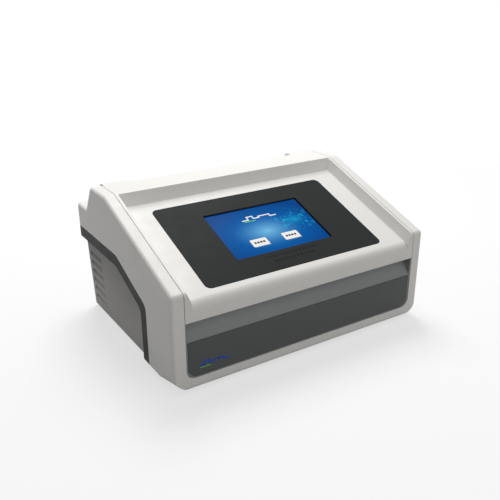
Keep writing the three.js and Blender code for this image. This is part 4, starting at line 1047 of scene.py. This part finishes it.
@dataclass
class Block:
    """The well block with its surround, deck and cooling."""

    pitch: float = 9 * MM
    well_radius: float = 3.1 * MM
    foot_radius: float = 1.5 * MM
    depth: float = 16 * MM
    chamfer: float = 0.5 * MM
    sides: int = 20
    corner: float = 2 * MM
    block_edge: float = 0.4 * MM
    deck_edge: float = 0.35 * MM
    fin_edge: float = 0.25 * MM

    def build(self) -> None:
        """Builds the block and what is around it."""
        self.well_block()
        for node, name, slot, finish in (
            ("deck_plate", "deck", "dark_plastic", INNER_DARK),
            ("block_surround", "surround", "dark_plastic", BLACK),
            ("catch_magnet", "magnet", "dark_plastic", BLACK),
        ):
            refined(node, name, self.deck_edge, "base", slot, finish)
        refined("heat_sink", "fin_stack", self.fin_edge, "base", "aluminium", ALUMINIUM)
        for number in range(1, 7):
            paint(frame["nodes"][f"peltier_module_{number}"], CERAMIC)

    def cone(self, foot: float, head: float, depth: float, middle: Vector) -> Piece:
        """A blunt cone that opens upwards.

        Args:
            foot: Its lower radius.
            head: Its upper radius.
            depth: Its height.
            middle: Its middle.

        Returns:
            The cone.
        """
        return settle(fresh(bpy.ops.mesh.primitive_cone_add, vertices=self.sides, radius1=foot, radius2=head,
                            depth=depth, location=middle))

    def well_block(self) -> None:
        """Builds the block with round conical wells and chamfered rims."""
        low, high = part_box("sample_block")
        middle = (low + high) / 2
        block = plate("well_block", low, high, self.corner, self.block_edge)
        columns = int((high.x - low.x) / self.pitch)
        rows = int((high.y - low.y) / self.pitch)
        first = Vector((middle.x - (columns - 1) / 2 * self.pitch, middle.y - (rows - 1) / 2 * self.pitch,
                        high.z))
        radius, chamfer = self.well_radius, self.chamfer
        well = self.cone(self.foot_radius, radius, self.depth, first - Vector((0, 0, self.depth / 2)))
        boolean(well, self.cone(radius - chamfer, radius + chamfer, chamfer * 2, first), "UNION")
        for count, offset in ((columns, (self.pitch, 0, 0)), (rows, (0, self.pitch, 0))):
            applied(well, "ARRAY", count=count, use_relative_offset=False, use_constant_offset=True,
                    constant_offset_displace=offset)
        dress(smooth(boolean(block, well)), "base", "aluminium", ALUMINIUM, "sample_block")


@dataclass
class HeatedCover:
    """The floating heated plate with its guides and springs, and the carrier in the lid."""

    wire: float = 0.5 * MM
    turns: int = 4
    wire_share: float = 0.95
    wire_sides: int = 8
    steps: int = 24
    slack: float = 0.1 * MM
    carrier_edge: float = 0.3 * MM
    plate_edge: float = 0.8 * MM
    pad_edge: float = 0.2 * MM
    guide_edge: float = 0.25 * MM

    @staticmethod
    def travel() -> float:
        """How far the plate rises, from the record."""
        joints = frame["record"]["behaviour"]["joints"]
        return next(joint["range_m"][1] for joint in joints if joint["name"] == "cover_float")

    def build(self) -> None:
        """Builds the heated cover."""
        for node, name, edge, body, slot, finish in (
            ("heater_carrier", "carrier", self.carrier_edge, "lid", "steel", ZINC),
            ("heater_plate", "hot_plate", self.plate_edge, "heated_cover", "aluminium", ALUMINIUM),
            ("heater_pad", "film_heater", self.pad_edge, "heated_cover", "silicone", SILICONE),
        ):
            refined(node, name, edge, body, slot, finish)
        for number in range(1, 5):
            refined(f"plate_guide_{number}", f"shoulder_screw_{number}", self.guide_edge, "heated_cover",
                    "steel", STEEL)
            self.spring(number)

    def spring(self, number: int) -> None:
        """Winds one spring of round wire where the CAD spring of that number stands."""
        node = f"plate_spring_{number}"
        low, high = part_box(node)
        middle = (low + high) / 2
        radius = (high.x - low.x) / 2 - self.wire
        rise = high.z - low.z - 2 * self.wire
        coil = settle(fresh(bpy.ops.mesh.primitive_circle_add, vertices=self.wire_sides,
                            radius=self.wire * self.wire_share, location=(radius, 0, 0),
                            rotation=(math.pi / 2, 0, 0), fill_type="NOTHING"))
        coil.name = f"coil_{number}"
        steps = self.steps * self.turns
        applied(coil, "SCREW", axis="Z", angle=2 * math.pi * self.turns, screw_offset=rise, steps=steps,
                render_steps=steps, use_normal_calculate=True)
        in_edit(coil, "EDGE", lambda e: e.is_boundary, lambda: bpy.ops.mesh.edge_face_add())
        in_edit(coil, "FACE", lambda f: True, lambda: bpy.ops.mesh.normals_make_consistent(inside=False))
        coil.location = (middle.x, middle.y, low.z + self.wire)
        dress(smooth(settle(coil)), "heated_cover", "steel", STEEL, node)
        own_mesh(coil)


@dataclass
class Cooling:
    """The two fans behind the side vents."""

    frame_edge: float = 0.4 * MM
    blade_edge: float = 0.25 * MM

    def build(self) -> None:
        """Builds both fans."""
        for side in Side:
            refined(f"fan_frame_{side}", f"fan_body_{side}", self.frame_edge, "base", "dark_plastic", BLACK)
            refined(f"fan_rotor_{side}", f"impeller_{side}", self.blade_edge, f"fan_{side}", "dark_plastic",
                    INNER_DARK)


@dataclass
class RearFittings:
    """The rear panel with its inlet, switch, fuse drawer and sockets."""

    edge: float = 0.25 * MM
    margin: float = 8 * MM
    screw_height: float = 0.8 * MM
    faces: Triple = (0, 1, -0.1)
    columns: tuple[float, ...] = (-1, -0.34, 0.34, 1)

    def build(self) -> None:
        """Builds the rear panel and its fittings."""
        for node, name, body, slot, finish in (
            ("rear_panel", "back_sheet", "base", "side_graphite", PANEL_GREY),
            ("power_inlet", "inlet", "base", "dark_plastic", BLACK),
            ("power_switch_body", "switch_housing", "base", "dark_plastic", BLACK),
            ("power_rocker", "rocker_key", "rocker", "dark_plastic", BLACK),
            ("fuse_drawer", "fuse_tray_body", "fuse_tray", "dark_plastic", INNER_DARK),
            ("usb_port", "usb_shell", "base", "steel", STEEL),
            ("network_port", "network_jack", "base", "steel", STEEL),
        ):
            refined(node, name, self.edge, body, slot, finish)
        self.screws()
        for node, finish in (("main_board", BOARD), ("power_supply", ZINC)):
            paint(frame["nodes"][node], finish)

    def screws(self) -> None:
        """Sets screws along the rear panel's edges."""
        face = face_frame("rear_panel", self.faces)
        points = [face.inverted() @ v.co for v in frame["nodes"]["rear_panel"].data.vertices]
        half_x = max(p.x for p in points) - self.margin
        half_y = max(p.y for p in points) - self.margin
        spots = [(x * half_x, y * half_y) for x in self.columns for y in (-1, 1)]
        maker = ScrewMaker(height=self.screw_height)
        heads = [maker.head("screw", face @ Matrix.Translation((x, y, 0))) for x, y in spots]
        dress(joined("back_screws", heads), "base", "steel", STEEL)


# ---------------- studio


@dataclass(frozen=True)
class Lamp:
    """A soft rectangular lamp."""

    place: Triple
    width: float
    length: float
    power: float
    aim: Triple = (0, 0, 0.1)

    def build(self) -> None:
        """Hangs the lamp."""
        lamp = fresh(bpy.ops.object.light_add, type="AREA", location=self.place)
        lamp.data.shape = "RECTANGLE"
        lamp.data.size = self.width
        lamp.data.size_y = self.length
        lamp.data.energy = self.power
        lamp.rotation_euler = (Vector(self.aim) - lamp.location).to_track_quat("-Z", "Y").to_euler()


class SplitTree(Tree):
    """A tree that shows one shader to the camera, clear reflections and glass, and another to soft light."""

    def split(self, soft: bpy.types.Node, seen: bpy.types.Node, output: str) -> None:
        """Links both shaders to the tree's output.

        Args:
            soft: The node that soft light meets.
            seen: The node that the camera meets.
            output: The output node's name.
        """
        path = self.node("ShaderNodeLightPath")
        share = path.outputs["Is Camera Ray"]
        for ray in ("Is Glossy Ray", "Is Transmission Ray"):
            share = self.mathed("MAXIMUM", share, path.outputs[ray])
        choice = self.node("ShaderNodeMixShader", {"Fac": share, 1: soft.outputs[0], 2: seen.outputs[0]})
        self.fill(self.nodes[output], {"Surface": choice.outputs[0]})


@dataclass
class Studio:
    """Floor, lamps and camera."""

    camera_place: Triple = (-0.4838, -0.7615, 0.4704)
    pitch: float = 22.53
    yaw: float = 32.66
    lens: float = 47.6
    sensor: float = 36.0
    clip_start: float = 10 * MM
    ambient: float = 0.36
    top_lamp: Lamp = Lamp((0.34, 0.78, 1.6), 0.9, 1.0, 25.5)
    front_lamp: Lamp = Lamp((0.5, -2.0, 0.5), 1.2, 0.8, 5.5)
    floor_size: float = 14.0
    floor_white: float = 0.95
    floor_grey: float = 0.35
    shadow_share: float = 0.38
    shadow_reach: float = 1.1
    shadow_full: float = 0.6

    def build(self) -> None:
        """Builds the studio."""
        scene = bpy.context.scene
        scene.view_settings.view_transform = "Standard"
        self.camera(scene)
        self.world(scene)
        self.top_lamp.build()
        self.front_lamp.build()
        self.floor()

    def camera(self, scene: bpy.types.Scene) -> None:
        """Places the scene's camera."""
        turn = (math.radians(90 - self.pitch), 0, math.radians(-self.yaw))
        camera = fresh(bpy.ops.object.camera_add, location=self.camera_place, rotation=turn)
        camera.data.lens = self.lens
        camera.data.sensor_width = self.sensor
        camera.data.clip_start = self.clip_start
        scene.camera = camera

    def world(self, scene: bpy.types.Scene) -> None:
        """Sets a plain world that the camera and clear reflections see as white."""
        world = bpy.data.worlds.new("studio")
        tree = SplitTree(world)
        white = (1, 1, 1, 1)
        plain = tree.fill(tree.nodes["Background"], {"Strength": self.ambient, "Color": white})
        clear = tree.node("ShaderNodeBackground", {"Strength": 1.0, "Color": white})
        tree.split(plain, clear, "World Output")
        scene.world = world

    def floor(self) -> None:
        """Lays a floor that shows white and keeps a soft shadow of the machine."""
        ground = fresh(bpy.ops.mesh.primitive_plane_add, size=self.floor_size, location=(0, 0, 0))
        ground.name = "floor"
        made = bpy.data.materials.new("floor_white")
        tree = SplitTree(made)
        tree.nodes.remove(tree.nodes["Principled BSDF"])
        bright, bounced = (tree.node("ShaderNodeBsdfDiffuse", {"Color": (grey, grey, grey, 1)})
                           for grey in (self.floor_white, self.floor_grey))
        glow = tree.node("ShaderNodeEmission")
        place = tree.node("ShaderNodeTexCoord").outputs["Object"]
        reach = tree.node("ShaderNodeVectorMath", {0: place}, operation="LENGTH").outputs["Value"]
        far = self.shadow_reach
        fade = tree.spread(reach, self.shadow_share, 0.0, far * self.shadow_full, far)
        shown = tree.node("ShaderNodeMixShader", {"Fac": fade, 1: glow.outputs[0], 2: bright.outputs[0]})
        tree.split(bounced, shown, "Material Output")
        ground.data.materials.append(made)


def main() -> None:
    """Builds the machine and its studio."""
    logging.basicConfig(level=logging.INFO, format="%(message)s")
    Studio().build()
    for part in (Casing(), Lid(), Display(), Block(), HeatedCover(), Cooling(), RearFittings()):
        log.info("building %s", type(part).__name__)
        part.build()


if __name__ == "__main__":
    main()
